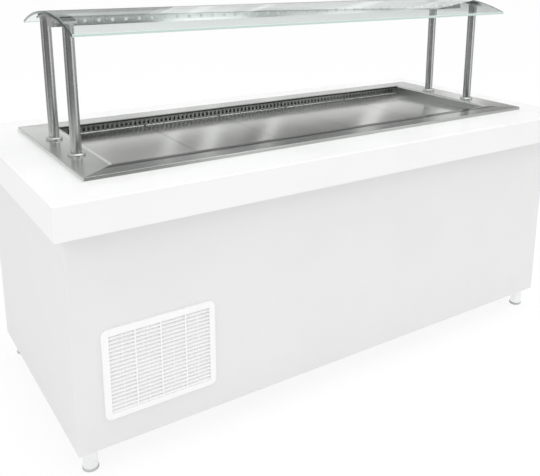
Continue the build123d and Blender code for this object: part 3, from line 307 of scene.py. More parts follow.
def makeFlangeSteel(look):
    material, tree, shader, place = startMaterial("flange_steel")
    x, y = axes(tree, place)[:2]
    outX = sums(tree, "SUBTRACT", sums(tree, "ABSOLUTE", x), look["innerX"])
    outY = sums(tree, "SUBTRACT", sums(tree, "ABSOLUTE", y), look["innerY"])
    onEnd = sums(tree, "GREATER_THAN", sums(tree, "DIVIDE", outX, look["endWidth"]),
                 sums(tree, "DIVIDE", outY, look["sideWidth"]))
    onSide = sums(tree, "SUBTRACT", 1.0, onEnd)

    def lean(axis, out, zone):  # how far the face leans towards the well
        start, full = look["roll"]
        inputs = {"Value": out, "From Min": start, "From Max": full}
        near = addNode(tree, "ShaderNodeMapRange", inputs, interpolation_type="SMOOTHSTEP").outputs["Result"]
        inward = sums(tree, "MULTIPLY", sums(tree, "SIGN", axis), -look["lean"])
        return sums(tree, "MULTIPLY", sums(tree, "MULTIPLY", near, zone), inward)

    leanY = sums(tree, "ADD", lean(y, outY, onSide), sums(tree, "MULTIPLY", y, look["crown"]))
    tilt = addNode(tree, "ShaderNodeCombineXYZ", {"X": lean(x, outX, onEnd), "Y": leanY}).outputs[0]
    # painted shade mask: full near the inner edge of the front and back strips, a share over the front strip,
    # none on the ends
    atBack = sums(tree, "MULTIPLY", sums(tree, "GREATER_THAN", y, 0.0), look["paintedShadeBack"])
    fromEdge = sums(tree, "ADD", blendOf(tree, onEnd, outY, outX), atBack)
    front = spread(tree, x, *look["paintedShadeFront"], *look["paintedShadeAlong"])
    atFront = sums(tree, "MULTIPLY", sums(tree, "LESS_THAN", y, 0.0), front)
    paintedShade = sums(tree, "MAXIMUM", spread(tree, fromEdge, 0.0, 1.0, *look["paintedShadeWidth"]), atFront)
    paintedShade = sums(tree, "MULTIPLY", paintedShade, onSide)
    lines = blendOf(tree, onEnd, brushLines(tree, place, look, "X"), brushLines(tree, place, look, "Y"))
    along = addNode(tree, "ShaderNodeCombineXYZ", {"X": onSide, "Y": onEnd}).outputs[0]
    steelShader(tree, shader, place, look, lines, along, leaning(tree, tilt), paintedShade)
    return material


flangeSteel = makeFlangeSteel(flangeLook)


# Posts: drawn tube, its gloss turned truly round about each post's own axis

postLook = {"dark": (0.44, 0.451, 0.445), "light": (0.51, 0.521, 0.515), "patch": 5.0, "rough": (0.2, 0.27),
            "axisX": 0.879, "axisY": 0.12, "grain": 900.0, "depth": 0.000002, "endSlope": 0.5}


def makePostSteel(look):
    material, tree, shader, place = startMaterial("post_steel")
    x, y = axes(tree, place)[:2]

    def off(axis, middle):  # distance from the nearest post's axis
        return sums(tree, "SUBTRACT", axis, sums(tree, "MULTIPLY", sums(tree, "SIGN", axis), middle))

    offAxis = {"X": off(x, look["axisX"]), "Y": off(y, look["axisY"])}
    outward = addNode(tree, "ShaderNodeCombineXYZ", offAxis).outputs[0]
    turned = addNode(tree, "ShaderNodeVectorMath", {0: outward}, operation="NORMALIZE").outputs[0]
    flat = addNode(tree, "ShaderNodeNewGeometry").outputs["Normal"]
    upright = sums(tree, "ABSOLUTE", axes(tree, flat)[2])  # how far a face looks up or down
    onSide = sums(tree, "LESS_THAN", upright, look["endSlope"])
    normal = addNode(tree, "ShaderNodeMix", {0: onSide, 4: flat, 5: turned}, data_type="VECTOR").outputs[1]
    patch = noise(tree, place, look["patch"])
    grain = noise(tree, place, look["grain"], detail=2.0)
    fill(tree, shader, {
        "Base Color": tones(tree, spread(tree, patch, 0.0, 1.0), look["dark"], look["light"]),
        "Metallic": 1.0,
        "Roughness": spread(tree, patch, *look["rough"]),
        "Normal": bump(tree, grain, look["depth"], normal),
    })
    return material


postSteel = makePostSteel(postLook)


# Galvanised sheet with its spangle

galvanisedLook = {"dark": (0.5, 0.515, 0.525), "light": (0.72, 0.73, 0.74), "spangle": 85.0,
                  "rough": (0.32, 0.5), "grain": 500.0, "depth": 0.00004}


def makeGalvanised(look):
    material, tree, shader, place = startMaterial("galvanised_sheet")
    cells = addNode(tree, "ShaderNodeTexVoronoi", {"Vector": place, "Scale": look["spangle"]})
    flake = axes(tree, cells.outputs["Color"])[0]
    grain = noise(tree, place, look["grain"], detail=2.0)
    fill(tree, shader, {
        "Base Color": tones(tree, flake, look["dark"], look["light"]),
        "Metallic": 1.0,
        "Roughness": spread(tree, flake, *look["rough"], 0.0, 1.0),
        "Normal": bump(tree, grain, look["depth"]),
    })
    return material


galvanisedSheet = makeGalvanised(galvanisedLook)


# Feet: zinc barrel on a grey pad

footLook = {"dark": (0.82, 0.825, 0.83), "light": (0.92, 0.925, 0.93), "patch": 25.0, "grain": 600.0,
            "rough": (0.24, 0.38), "depth": 0.00004,
            "padTone": (0.6, 0.6, 0.602), "padTop": 0.0102, "padRough": 0.7}


def makeFootSteel(look):
    material, tree, shader, place = startMaterial("foot_steel")
    onBarrel = sums(tree, "GREATER_THAN", axes(tree, place)[2], look["padTop"])
    patch = noise(tree, place, look["patch"], detail=5.0)
    grain = noise(tree, place, look["grain"], detail=3.0)
    zinc = tones(tree, spread(tree, patch, 0.0, 1.0), look["dark"], look["light"])
    fill(tree, shader, {
        "Base Color": tones(tree, onBarrel, look["padTone"], zinc),
        "Metallic": onBarrel,
        "Roughness": blendOf(tree, onBarrel, look["padRough"], spread(tree, patch, *look["rough"])),
        "Normal": bump(tree, grain, look["depth"]),
    })
    return material


footSteel = makeFootSteel(footLook)


# Service door: white board, with the steel hinge leaves that stand proud of its face

doorLook = {"face": 0.4452, "steel": (0.6, 0.605, 0.605), "steelRough": 0.3}


def makeDoorBoard(board, look):
    material, tree, shader, place = startMaterial("door_board")
    onLeaf = sums(tree, "GREATER_THAN", axes(tree, place)[1], look["face"])
    patch = noise(tree, place, board["patch"], detail=6.0, rough=0.6)
    grain = noise(tree, place, board["grain"], detail=3.0)
    white = tones(tree, spread(tree, patch, 0.0, 1.0), board["dark"], board["light"])
    fill(tree, shader, {
        "Base Color": tones(tree, onLeaf, white, look["steel"]),
        "Metallic": onLeaf,
        "Roughness": blendOf(tree, onLeaf, spread(tree, patch, *board["rough"]), look["steelRough"]),
        "Normal": bump(tree, grain, board["depth"]),
    })
    return material


doorBoard = makeDoorBoard(boardLook, doorLook)


# Bent glass: clear faces, green in its depth, with ground edges, pale along the sides, and at the ends
# painted shade towards the front turning to painted light towards the rear

glassLook = {"clear": (0.89, 0.905, 0.9), "smeared": (0.91, 0.92, 0.918), "smear": 18.0, "index": 1.5,
             "tint": (0.42, 0.8, 0.68), "density": 9.0, "groundRough": 0.35, "through": 0.08,
             "sideY": 0.2628, "sideEdge": (0.66, 0.8, 0.76),
             "endX": 0.9112, "endPaintedShade": (0.03, 0.05, 0.05), "endPaintedLight": (0.42, 0.47, 0.46),
             "endShadeToLight": (-0.06, 0.1)}


def makeGlass(look):
    material, tree, shader, place = startMaterial("bent_glass")
    x, y = axes(tree, place)[:2]
    onEnd = sums(tree, "GREATER_THAN", sums(tree, "ABSOLUTE", x), look["endX"])
    onSide = sums(tree, "GREATER_THAN", sums(tree, "ABSOLUTE", y), look["sideY"])
    ground = sums(tree, "MAXIMUM", onEnd, onSide)
    smear = noise(tree, place, look["smear"])
    clear = tones(tree, smear, look["clear"], look["smeared"])
    # painted shade and painted light on the end edges: near black at the front, lighter towards the rear
    paintedEnd = tones(tree, spread(tree, y, 0.0, 1.0, *look["endShadeToLight"]), look["endPaintedShade"], look["endPaintedLight"])
    edged = tones(tree, onSide, clear, look["sideEdge"])
    fill(tree, shader, {
        "Base Color": tones(tree, onEnd, edged, paintedEnd),
        "Roughness": sums(tree, "MULTIPLY", ground, look["groundRough"]),
        "IOR": look["index"],
        "Transmission Weight": blendOf(tree, ground, 1.0, look["through"]),
    })
    inputs = {"Color": (*look["tint"], 1.0), "Density": look["density"]}
    depth = addNode(tree, "ShaderNodeVolumeAbsorption", inputs)
    tree.links.new(depth.outputs[0], tree.nodes["Material Output"].inputs["Volume"])
    return material


bentGlass = makeGlass(glassLook)
print("sheet metal and glass made")


# Every CAD node takes its finish

finishes = {
    whiteBoard: ["front_panel", "left_end_panel", "right_end_panel", "rear_panel", "flange_stiffener"],
    worktopBoard: ["worktop"], doorBoard: ["service_door"], grillePlastic: ["vent_grille"],
    framePaint: ["base_frame", "upper_frame"], flangeSteel: ["well_flange"],
    plateSteel: [f"floor_plate_{n}" for n in range(1, 6)],
    wellSteel: ["well_tank"], shadedAirSteel: ["rear_air_panel", "front_air_panel"],
    postSteel: ["post_front_left", "post_front_right", "post_rear_left", "post_rear_right"],
    collarSteel: ["post_collars", "canopy_cradles"],
    channelSteel: ["light_channel"], hingeSteel: ["door_hinges"],
    galvanisedSheet: ["cabinet_floor", "unit_tray", "fan_shroud"],
    footSteel: ["foot_front_left", "foot_front_right", "foot_rear_left", "foot_rear_right"],
    finAluminium: ["evaporator_fins", "condenser_fins"],
    copperPipe: ["evaporator_tubes", "condenser_tubes", "refrigerant_lines"],
    compressorPaint: ["compressor"], motorMetal: ["evaporator_fan_motors", "condenser_fan_motor"],
    fanPlastic: ["evaporator_fan_1", "evaporator_fan_2", "condenser_fan"], foamBoard: ["well_insulation"],
    rubber: ["compressor_mounts", "glass_pads"], drainPlastic: ["drain_pipe", "drain_valve"],
    leverPlastic: ["drain_lever"], fasciaPaint: ["control_box"],
    controlPlastic: ["power_switch", "light_switch", "thermostat_knob"], glandPlastic: ["cable_gland"],
    zincPlate: ["post_nuts"], bentGlass: ["glass_canopy"], lensPlastic: ["lens_strips"],
    opalPlastic: ["light_diffuser"],
}
for material, names in finishes.items():
    for name in names:
        nodes[name].material_slots[0].material = material
nodes["glass_canopy"].visible_shadow = False  # the light comes down through it
bare = set(nodes) - {name for names in finishes.values() for name in names}
print("nodes dressed, left bare:", sorted(bare))


# Small fittings: most are a stack of rings, placed with its own Z the way it faces

sharpAngle = math.radians(32)  # edges that turn further stay crisp


def circle(radius, height, count=24):
    turns = [math.tau * k / count for k in range(count)]
    return [Vector((radius * math.cos(a), radius * math.sin(a), height)) for a in turns]


def crossRing(arm, half, height, count=24):  # the outline of a cross-head recess
    points = []
    for k in range(count):
        turn = math.tau * k / count
        off = abs((turn + math.pi / 4) % (math.pi / 2) - math.pi / 4)  # angle from the nearest arm
        reach = arm / math.cos(off) if math.tan(off) * arm <= half else half / math.sin(off)
        points.append(Vector((reach * math.cos(turn), reach * math.sin(turn), height)))
    return points


def roundRect(wide, high, corner, height, steps=6):
    points = []
    for k, (sideX, sideY) in enumerate([(1, 1), (-1, 1), (-1, -1), (1, -1)]):
        midX, midY = sideX * (wide / 2 - corner), sideY * (high / 2 - corner)
        for s in range(steps + 1):
            turn = math.pi / 2 * (k + s / steps)
            points.append(Vector((midX + corner * math.cos(turn), midY + corner * math.sin(turn), height)))
    return points


def bandRings(radius, profile, count):  # rings round an axis, each a step out and up
    return [circle(radius + out, up, count) for out, up in profile]


def frameRings(wide, high, corner, profile, steps=6):  # rings round a rectangle, each a step out and up
    return [roundRect(wide + 2 * out, high + 2 * out, corner + out, up, steps) for out, up in profile]


def headRings(look):  # a round head, in shares of its radius and rise
    return [circle(look["radius"] * out, look["rise"] * up) for out, up in look["head"]]


def screwRings(look):  # a round head with a cross recess
    top, base = look["cross"]
    return headRings(look) + [crossRing(*top, look["rise"]), crossRing(*base, look["rise"] - look["recess"])]


def skin(bm, rings, matrix, loop=False):  # walls between the rings, and caps unless the last meets the first
    rows = [[bm.verts.new(matrix @ point) for point in ring] for ring in rings]
    for low, high in list(zip(rows, rows[1:])) + ([(rows[-1], rows[0])] if loop else []):
        for k in range(len(low)):
            after = (k + 1) % len(low)
            bm.faces.new([low[k], low[after], high[after], high[k]])
    if not loop:
        bm.faces.new(rows[0][::-1])
        bm.faces.new(rows[-1])


def facing(place, out, up):
    z, y = Vector(out).normalized(), Vector(up).normalized()
    return Matrix.Translation(place) @ Matrix((y.cross(z), y, z)).transposed().to_4x4()


def addPiece(name, data, body, material, matrix=Matrix.Identity(4)):
    if isinstance(data, bmesh.types.BMesh):
        bm, data = data, bpy.data.meshes.new(name)
        bmesh.ops.recalc_face_normals(bm, faces=bm.faces)
        bm.to_mesh(data)
        bm.free()
        data.polygons.foreach_set("use_smooth", [True] * len(data.polygons))
        data.set_sharp_from_angle(angle=sharpAngle)
    data.materials.append(material)
    piece = bpy.data.objects.new(name, data)
    piece.matrix_world = matrix
    scene.collection.objects.link(piece)
    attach(piece, body)


backward, sideways, upward = (0, 1, 0), (1, 0, 0), (0, 0, 1)
pivots = {joint["child"]: Vector(joint["pos_m"]) for joint in frame["joints"] if joint.get("pos_m")}
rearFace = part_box("rear_panel")[1].y
doorLow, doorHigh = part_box("service_door")
fasciaLow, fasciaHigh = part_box("control_box")
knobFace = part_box("thermostat_knob")[1].y


# Pan-head screws: three in each hinge leaf, and one at each corner of the control fascia

screwLook = {"radius": 0.0042, "rise": 0.0017, "recess": 0.0012, "turn": 0.65,
             "head": [(1.0, 0.0), (1.0, 0.3), (0.93, 0.62), (0.8, 0.88), (0.62, 1.0)],
             "cross": [(0.0023, 0.0006), (0.00207, 0.00048)]}
hingeScrews = {"fromAxis": 0.0215, "fromEnd": 0.08, "spread": 0.024, "leaf": 0.003}
fasciaScrews = {"inset": 0.009}


def addScrew(bm, place, number, look):
    turn = Matrix.Rotation(look["turn"] * number, 4, "Z")
    skin(bm, screwRings(look), facing(place, backward, upward) @ turn)


def addHingeScrews(name, body, side, look):
    bm = bmesh.new()
    x, y = pivots["service_door"].x + side * look["fromAxis"], rearFace + look["leaf"]
    middles = (doorLow.z + look["fromEnd"], doorHigh.z - look["fromEnd"])
    heights = [middle + step * look["spread"] for middle in middles for step in (-1, 0, 1)]
    for number, z in enumerate(heights):
        addScrew(bm, (x, y, z), number, screwLook)
    addPiece(name, bm, body, zincPlate)


def addFasciaScrews(look):
    bm = bmesh.new()
    xs = (fasciaLow.x + look["inset"], fasciaHigh.x - look["inset"])
    zs = (fasciaLow.z + look["inset"], fasciaHigh.z - look["inset"])
    for number, (x, z) in enumerate((x, z) for x in xs for z in zs):
        addScrew(bm, (x, fasciaHigh.y, z), number, screwLook)
    addPiece("fascia_screws", bm, "cabinet", zincPlate)


addHingeScrews("hinge_screws_cabinet", "cabinet", -1, hingeScrews)
addHingeScrews("hinge_screws_door", "service_door", 1, hingeScrews)
addFasciaScrews(fasciaScrews)


# Printed thermostat dial with ticks and numbers, the knob's white line, and the marks on the rockers

dialLook = {"numbers": 8, "sweep": 270.0, "between": 3, "near": 0.0232, "far": 0.0262, "short": 0.0247,
            "wide": 0.0008, "thick": 0.0001, "textAt": 0.0312, "textSize": 0.0072}
pointerLook = {"wide": 0.0016, "from": 0.0045, "to": 0.0165, "thick": 0.00025}
markLook = {"half": 0.012, "tilt": 12.0, "crown": 0.007, "bar": (0.0013, 0.0062), "ring": (0.0022, 0.0031),
            "thick": 0.00012}
stampLook = {"corner": 0.45, "steps": 3}  # the corner is a share of the bar's width


def dialSpot(turn, radius):  # clockwise from the top, seen from behind
    middle = pivots["thermostat_knob"]
    out = Vector((-math.sin(turn), 0.0, math.cos(turn)))
    return Vector((middle.x, fasciaHigh.y, middle.z)) + out * radius, out


def stamp(bm, matrix, wide, high, thick):  # a thin printed bar
    corner, steps = wide * stampLook["corner"], stampLook["steps"]
    skin(bm, [roundRect(wide, high, corner, up, steps) for up in (0.0, thick)], matrix)


def addDial(look):
    bm = bmesh.new()
    ticks = (look["numbers"] - 1) * look["between"]
    for k in range(ticks + 1):
        far = look["far"] if k % look["between"] == 0 else look["short"]
        spot, out = dialSpot(math.radians(look["sweep"] * k / ticks), (look["near"] + far) / 2)
        stamp(bm, facing(spot, backward, out), look["wide"], far - look["near"], look["thick"])
    addPiece("dial_ticks", bm, "cabinet", whitePrint)
    for k in range(look["numbers"]):
        label = bpy.data.curves.new(f"dial_number_{k}", "FONT")
        label.body, label.size, label.extrude = str(k), look["textSize"], look["thick"]
        label.align_x, label.align_y = "CENTER", "CENTER"
        turn = math.radians(look["sweep"] * k / (look["numbers"] - 1))
        matrix = facing(dialSpot(turn, look["textAt"])[0], backward, upward)
        addPiece(f"dial_number_{k}", label, "cabinet", whitePrint, matrix)


def addPointer(look):
    bm = bmesh.new()
    middle = pivots["thermostat_knob"]
    place = (middle.x, knobFace, middle.z + (look["from"] + look["to"]) / 2)
    stamp(bm, facing(place, backward, upward), look["wide"], look["to"] - look["from"], look["thick"])
    addPiece("knob_line", bm, "thermostat_knob", whitePrint)


def addRockerMarks(body, look):
    bm = bmesh.new()
    half, rise = look["half"], look["half"] * math.tan(math.radians(look["tilt"]))
    rocker = Matrix.Translation(pivots[body]) @ Matrix.Rotation(math.radians(-look["tilt"]), 4, "X")
    y = look["crown"] + rise / 2
    upper = rocker @ facing((0, y, half / 2), (0, half, -rise), (0, rise, half))
    lower = rocker @ facing((0, y, -half / 2), (0, half, rise), (0, -rise, half))
    stamp(bm, upper, *look["bar"], look["thick"])
    inner, outer = look["ring"]
    section = [(outer, 0.0), (outer, look["thick"]), (inner, look["thick"]), (inner, 0.0)]
    skin(bm, [circle(radius, up) for radius, up in section], lower, loop=True)
    addPiece(f"{body}_marks", bm, body, whitePrint)


addDial(dialLook)
addPointer(pointerLook)
for body in ("power_switch", "light_switch"):
    addRockerMarks(body, markLook)


# Sealant bead where the flange sits on the worktop

beadLook = {"corner": 0.006,
            "profile": [(0.003, 0.0), (0.0013, 0.0006), (0.0005, 0.0015), (0.0, 0.0031), (-0.0004, 0.0)]}


def addBead(look):
    bm = bmesh.new()
    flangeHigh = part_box("well_flange")[1]
    rings = frameRings(2 * flangeHigh.x, 2 * flangeHigh.y, look["corner"], look["profile"])
    skin(bm, rings, Matrix.Translation((0, 0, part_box("worktop")[1].z)), loop=True)
    addPiece("flange_sealant", bm, "cabinet", sealant)


# Caps over the panel fixings at the back, and a rim round the door's finger hole

capLook = {"radius": 0.0065, "rise": 0.0016, "xs": (-1.0, -0.33, 0.33, 1.0), "zs": (0.106, 0.772),
           "head": [(1.0, 0.0), (1.0, 0.35), (0.9, 0.7), (0.6, 0.93), (0.2, 1.0)]}
rimLook = {"hole": (0.028, 0.1), "fromEdge": 0.04, "steps": 10,
           "profile": [(-0.0003, -0.008), (-0.0003, 0.00096), (0.0012, 0.0016), (0.0048, 0.0016),
                       (0.006, 0.0008), (0.006, 0.0)]}


def addCaps(look):
    bm = bmesh.new()
    for x in look["xs"]:
        for z in look["zs"]:
            skin(bm, headRings(look), facing((x, rearFace, z), backward, upward))
    addPiece("rear_caps", bm, "cabinet", grillePlastic)


def addRim(look):
    bm = bmesh.new()
    wide, high = look["hole"]
    rings = frameRings(wide, high, wide / 2, look["profile"], look["steps"])
    place = (doorHigh.x - look["fromEdge"], rearFace, (doorLow.z + doorHigh.z) / 2)
    skin(bm, rings, facing(place, backward, upward), loop=True)
    addPiece("finger_rim", bm, "service_door", grillePlastic)


# Weld seam round the compressor's shell, and worm clamps on the drain either side of its valve

seamLook = {"radius": 0.085, "height": 0.272, "count": 48,
            "profile": [(-0.0006, -0.002), (0.0012, -0.0013), (0.0018, 0.0), (0.0012, 0.0013),
                        (-0.0006, 0.002)]}
clampLook = {"radius": 0.016, "fromValve": 0.042, "count": 40, "corner": 0.002, "screwAt": (0.00275, 0.0052),
             "band": [(-0.0011, -0.0045), (0.00088, -0.0045), (0.0011, -0.0036), (0.0011, 0.0036),
                      (0.00088, 0.0045), (-0.0011, 0.0045)],
             "housing": [(0.013, 0.011, 0.0), (0.013, 0.011, 0.00385), (0.0117, 0.0088, 0.0055)],
             "screw": {"radius": 0.0032, "rise": 0.0075, "recess": 0.001,
                       "head": [(1.0, 0.0), (1.0, 0.9), (0.8, 1.0)],
                       "cross": [(0.0018, 0.0005), (0.0016, 0.0004)]}}


def addSeam(look):
    bm = bmesh.new()
    low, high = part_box("compressor_mounts")
    rings = bandRings(look["radius"], look["profile"], look["count"])
    place = ((low.x + high.x) / 2, (low.y + high.y) / 2, look["height"])
    skin(bm, rings, Matrix.Translation(place), loop=True)
    addPiece("compressor_seam", bm, "cabinet", compressorPaint)


def addClamps(look):
    bm = bmesh.new()
    low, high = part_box("drain_pipe")
    x, y = (low.x + high.x) / 2, (low.y + high.y) / 2
    band = bandRings(look["radius"], look["band"], look["count"])
    housing = [roundRect(wide, tall, look["corner"], up) for wide, tall, up in look["housing"]]
    side = x + look["radius"]
    out, along = look["screwAt"]
    for step in (-1, 1):
        z = pivots["drain_lever"].z + step * look["fromValve"]
        skin(bm, band, Matrix.Translation((x, y, z)), loop=True)
        skin(bm, housing, facing((side, y, z), sideways, upward))
        skin(bm, screwRings(look["screw"]), facing((side + out, y + along, z), backward, upward))
    addPiece("drain_clamps", bm, "cabinet", zincPlate)


# A pleated dust filter in the back of the vent grille, and a rolled rear edge on each floor plate

filterLook = {"border": 0.0215, "fromBack": 0.0012, "pleat": 0.009, "depth": 0.004, "thick": 0.0007}
edgeLook = {"high": 0.0015, "half": 0.0022, "inset": 0.0032, "ends": 0.003, "steps": 8,
            "taper": [(0.0, 0.35), (0.001, 0.75), (0.003, 1.0)]}


def addFilter(look):
    bm = bmesh.new()
    low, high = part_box("vent_grille")
    left, wide = low.x + look["border"], high.x - low.x - 2 * look["border"]
    folds = 2 * round(wide / look["pleat"])
    back = high.y - look["fromBack"]
    near, far = back - look["depth"], back - look["thick"]
    line = [(left + wide * k / folds, near if k % 2 else far) for k in range(folds + 1)]
    section = line + [(x, y + look["thick"]) for x, y in reversed(line)]
    heights = (low.z + look["border"], high.z - look["border"])
    rings = [[Vector((x, y, z)) for x, y in section] for z in heights]
    skin(bm, rings, Matrix.Identity(4))
    addPiece("grille_filter", bm, "vent_grille", glowingFilterFleece)


def addPlateEdge(plate, look):
    bm = bmesh.new()
    low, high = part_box(plate)
    y = high.y - look["inset"]
    starts = [(low.x + look["ends"] + along, size) for along, size in look["taper"]]
    stops = [(high.x - look["ends"] - along, size) for along, size in reversed(look["taper"])]
    turns = [math.pi * k / look["steps"] for k in range(look["steps"] + 1)]
    rings = [[Vector((x, y + look["half"] * size * math.cos(a), high.z + look["high"] * size * math.sin(a)))
              for a in turns] for x, size in starts + stops]
    skin(bm, rings, Matrix.Identity(4))
    addPiece(f"{plate}_edge", bm, plate, plateSteel)


addFilter(filterLook)
for n in range(1, 6):
    addPlateEdge(f"floor_plate_{n}", edgeLook)
addBead(beadLook)
addCaps(capLook)
addRim(rimLook)
addSeam(seamLook)
addClamps(clampLook)
print("small fittings added")


# Camera at the photograph's viewpoint: pixels of a 540 by 476 frame, metres and degrees

viewpoint = {"place": (-1.5343, -2.3151, 1.5297), "yaw": 34.5245, "pitch": 14.2785, "roll": 0.5798,
             "focal": 718.587, "centre": (300.25, 138.448), "frame": (540, 476), "sensor": 36.0,
             "reach": 200.0}


def makeCamera(look):
    yaw, pitch, roll = (math.radians(look[key]) for key in ("yaw", "pitch", "roll"))
    ahead = Vector((math.sin(yaw) * math.cos(pitch), math.cos(yaw) * math.cos(pitch), -math.sin(pitch)))
    right = Vector((math.cos(yaw), -math.sin(yaw), 0.0))
    up = right.cross(ahead)
    rolledRight = right * math.cos(roll) + up * math.sin(roll)
    rolledUp = up * math.cos(roll) - right * math.sin(roll)
    turn = Matrix((rolledRight, rolledUp, -ahead)).transposed().to_4x4()
    lens = bpy.data.cameras.new("camera")
    wide, high = look["frame"]
    lens.sensor_width = look["sensor"]
    lens.lens = look["focal"] / wide * look["sensor"]
    lens.shift_x = (wide / 2 - look["centre"][0]) / wide
    lens.shift_y = (look["centre"][1] - high / 2) / wide
    lens.clip_end = look["reach"]
    camera = bpy.data.objects.new("camera", lens)
    camera.matrix_world = Matrix.Translation(look["place"]) @ turn
    scene.collection.objects.link(camera)
    scene.camera = camera


makeCamera(viewpoint)
scene.view_settings.view_transform = "Standard"


# Studio: white floor and surround, soft lamps, and grey cards that only polished metal and glass mirror

def seenAsBackground(tree):  # 1 for rays that should meet a plain white background
    ray = addNode(tree, "ShaderNodeLightPath").outputs
    both = sums(tree, "MAXIMUM", ray["Is Camera Ray"], ray["Is Glossy Ray"])
    return sums(tree, "MAXIMUM", both, ray["Is Transmission Ray"])


worldLook = {"light": 0.84, "white": 1.0}


def makeWorld(look):
    world = bpy.data.worlds.new("surround")
    world.use_nodes = True
    scene.world = world
    tree = world.node_tree
    background = tree.nodes["Background"]
    background.inputs["Color"].default_value = (1.0, 1.0, 1.0, 1.0)
    strength = blendOf(tree, seenAsBackground(tree), look["light"], look["white"])
    tree.links.new(strength, background.inputs["Strength"])


floorLook = {"half": 60.0, "tone": (0.88, 0.88, 0.88), "lift": 1.02, "shadowShare": 0.17, "glow": 0.862,
             "patch": 0.6}


def makeFloor(look):
    mesh = bpy.data.meshes.new("floor")
    half = look["half"]
    corners = [(-half, -half, 0), (half, -half, 0), (half, half, 0), (-half, half, 0)]
    mesh.from_pydata(corners, [], [(0, 1, 2, 3)])
    floor = bpy.data.objects.new("floor", mesh)
    scene.collection.objects.link(floor)
    material, tree, shader, place = startMaterial("studio_floor")
    patch = noise(tree, place, look["patch"], detail=3.0)
    light = tuple(min(1.0, c * look["lift"]) for c in look["tone"])
    colour = tones(tree, patch, look["tone"], light)
    plain = addNode(tree, "ShaderNodeBsdfDiffuse", {"Color": colour}).outputs[0]
    dim = tuple(c * look["shadowShare"] for c in look["tone"])
    shaded = addNode(tree, "ShaderNodeBsdfDiffuse", {"Color": (*dim, 1.0)}).outputs[0]
    glow = addNode(tree, "ShaderNodeEmission", {"Strength": look["glow"]}).outputs[0]
    white = addNode(tree, "ShaderNodeAddShader", {0: shaded, 1: glow}).outputs[0]
    mixed = addNode(tree, "ShaderNodeMixShader", {0: seenAsBackground(tree), 1: plain, 2: white}).outputs[0]
    tree.links.new(mixed, tree.nodes["Material Output"].inputs["Surface"])
    tree.nodes.remove(shader)
    material.cycles.emission_sampling = "NONE"
    mesh.materials.append(material)


lampAim = Vector((0, 0, 0.7))
lamps = {
    "key": {"place": (-4.9, -3.7, 4.2), "size": (3.4, 2.6), "power": 54.0},
    "top": {"place": (0.4, -0.6, 5.2), "size": (4.2, 2.8), "power": 64.0},
    "fill": {"place": (4.6, -3.6, 3.0), "size": (2.6, 2.6), "power": 20.0},
}


def makeLamp(name, look):
    light = bpy.data.lights.new(name, "AREA")
    light.shape = "RECTANGLE"
    light.size, light.size_y = look["size"]
    light.energy = look["power"]
    lamp = bpy.data.objects.new(name, light)
    lamp.location = look["place"]
    aim = lampAim - Vector(look["place"])
    lamp.rotation_euler = aim.to_track_quat("-Z", "Y").to_euler()
    scene.collection.objects.link(lamp)


# Each card: two azimuths, from +Y towards +X, a low and a high edge, and a tone at its foot and its head

cardLook = {"radius": 5.0, "step": 10.0, "ground": 0.02, "lowTop": 1.3, "frontTop": 3.0, "sideTop": 2.4,
            "rearLow": 1.92, "rearDrop": 0.004, "rearMiddle": 2.2, "rearTop": 3.6, "rearFootTone": 0.9,
            "crestHeights": (0.9, 1.9, 3.4, 7.5)}
rearTones = [(-80, 11, 0.6), (11, 18.1, 0.43), (19.5, 22.8, 0.38), (24.6, 28.4, 0.37), (28.4, 30.6, 0.19),
             (32, 43.1, 0.26), (45.4, 52.5, 0.24), (57, 90, 0.2)]
lowTones = [(-61, 15, 0.35), (20.5, 52.5, 0.5), (57, 83, 0.6), (-81, -67, 0.25)]
frontTones = [(162.2, 173, 0.06), (152, 162.2, 1.9), (147.6, 152, 0.4), (144.5, 147.6, 1.1),
              (136.6, 142.5, 1.7), (134.6, 136.6, 0.5), (131.5, 134.6, 1.6), (120, 131.5, 0.45)]
sideTones = [(96, 120, 0.5), (-187, -150, 0.17), (-150, -119, 0.24), (-119, -93, 0.12)]
crestTones = [[(-45, 19.5, 0.3), (19.5, 85, 0.6)], [(-50, 19.5, 0.4), (57, 95, 0.06)], [(-55, 95, 0.08)]]


def evenCards(low, high, rows):  # one tone from foot to head
    return [(first, last, low, high, tone, tone) for first, last, tone in rows]


def rearCards(look, rows):  # lighter towards the foot, which drops towards the right
    cards = []
    for first, last, tone in rows:
        low = look["rearLow"] - look["rearDrop"] * max(first, 0)
        cards.append((first, last, low, look["rearMiddle"], look["rearFootTone"], tone))
    return cards + evenCards(look["rearMiddle"], look["rearTop"], rows)


def crestCards(look, rows):  # one row of cards above another
    heights = look["crestHeights"]
    cards = []
    for low, high, row in zip(heights, heights[1:], rows):
        cards += evenCards(low, high, row)
    return cards


metalCards = rearCards(cardLook, rearTones)
for top, rows in (("lowTop", lowTones), ("frontTop", frontTones), ("sideTop", sideTones)):
    metalCards += evenCards(cardLook["ground"], cardLook[top], rows)
glassCards = crestCards(cardLook, crestTones)


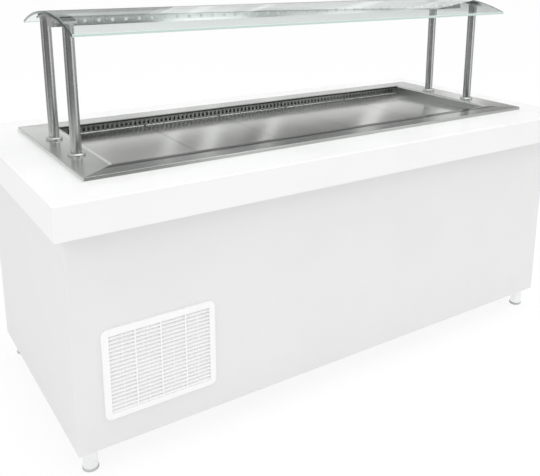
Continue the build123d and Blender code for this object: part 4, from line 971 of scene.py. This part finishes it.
def makeCards(name, look, cards, forGlass):
    bm = bmesh.new()
    layer = bm.loops.layers.float_color.new("tone")
    for first, last, low, high, foot, head in cards:
        steps = max(1, round((last - first) / look["step"]))
        turns = [math.radians(first + (last - first) * k / steps) for k in range(steps + 1)]
        spots = [(look["radius"] * math.sin(a), look["radius"] * math.cos(a)) for a in turns]
        for near, far in zip(spots, spots[1:]):
            corners = [(*near, low), (*far, low), (*far, high), (*near, high)]
            face = bm.faces.new([bm.verts.new(c) for c in corners])
            for loop, tone in zip(face.loops, (foot, foot, head, head)):
                loop[layer] = (tone, tone, tone, 1.0)
    mesh = bpy.data.meshes.new(name)
    bm.to_mesh(mesh)
    bm.free()
    board = bpy.data.objects.new(name, mesh)
    scene.collection.objects.link(board)
    material, tree, shader = startMaterial(name)[:3]
    tone = addNode(tree, "ShaderNodeVertexColor", layer_name="tone").outputs["Color"]
    glow = addNode(tree, "ShaderNodeEmission", {"Color": tone}).outputs[0]
    clear = addNode(tree, "ShaderNodeBsdfTransparent").outputs[0]
    ray = addNode(tree, "ShaderNodeLightPath").outputs
    reflected = sums(tree, "GREATER_THAN", ray["Glossy Depth"], 0.5)  # one bounce or more
    notThrough = sums(tree, "SUBTRACT", 1.0, ray["Is Transmission Ray"])
    offGlass = sums(tree, "MULTIPLY", ray["Is Singular Ray"], notThrough)
    wanted = offGlass if forGlass else sums(tree, "SUBTRACT", 1.0, offGlass)
    seen = sums(tree, "MULTIPLY", reflected, wanted)
    mixed = addNode(tree, "ShaderNodeMixShader", {0: seen, 1: clear, 2: glow}).outputs[0]
    tree.links.new(mixed, tree.nodes["Material Output"].inputs["Surface"])
    tree.nodes.remove(shader)
    material.cycles.emission_sampling = "NONE"
    mesh.materials.append(material)
    board.visible_camera = False
    board.visible_diffuse = False
    board.visible_volume_scatter = False
    board.visible_shadow = False


makeWorld(worldLook)
makeFloor(floorLook)
for name, look in lamps.items():
    makeLamp(name, look)
makeCards("metal_cards", cardLook, metalCards, forGlass=False)
makeCards("glass_card", cardLook, glassCards, forGlass=True)
print("camera and studio set")
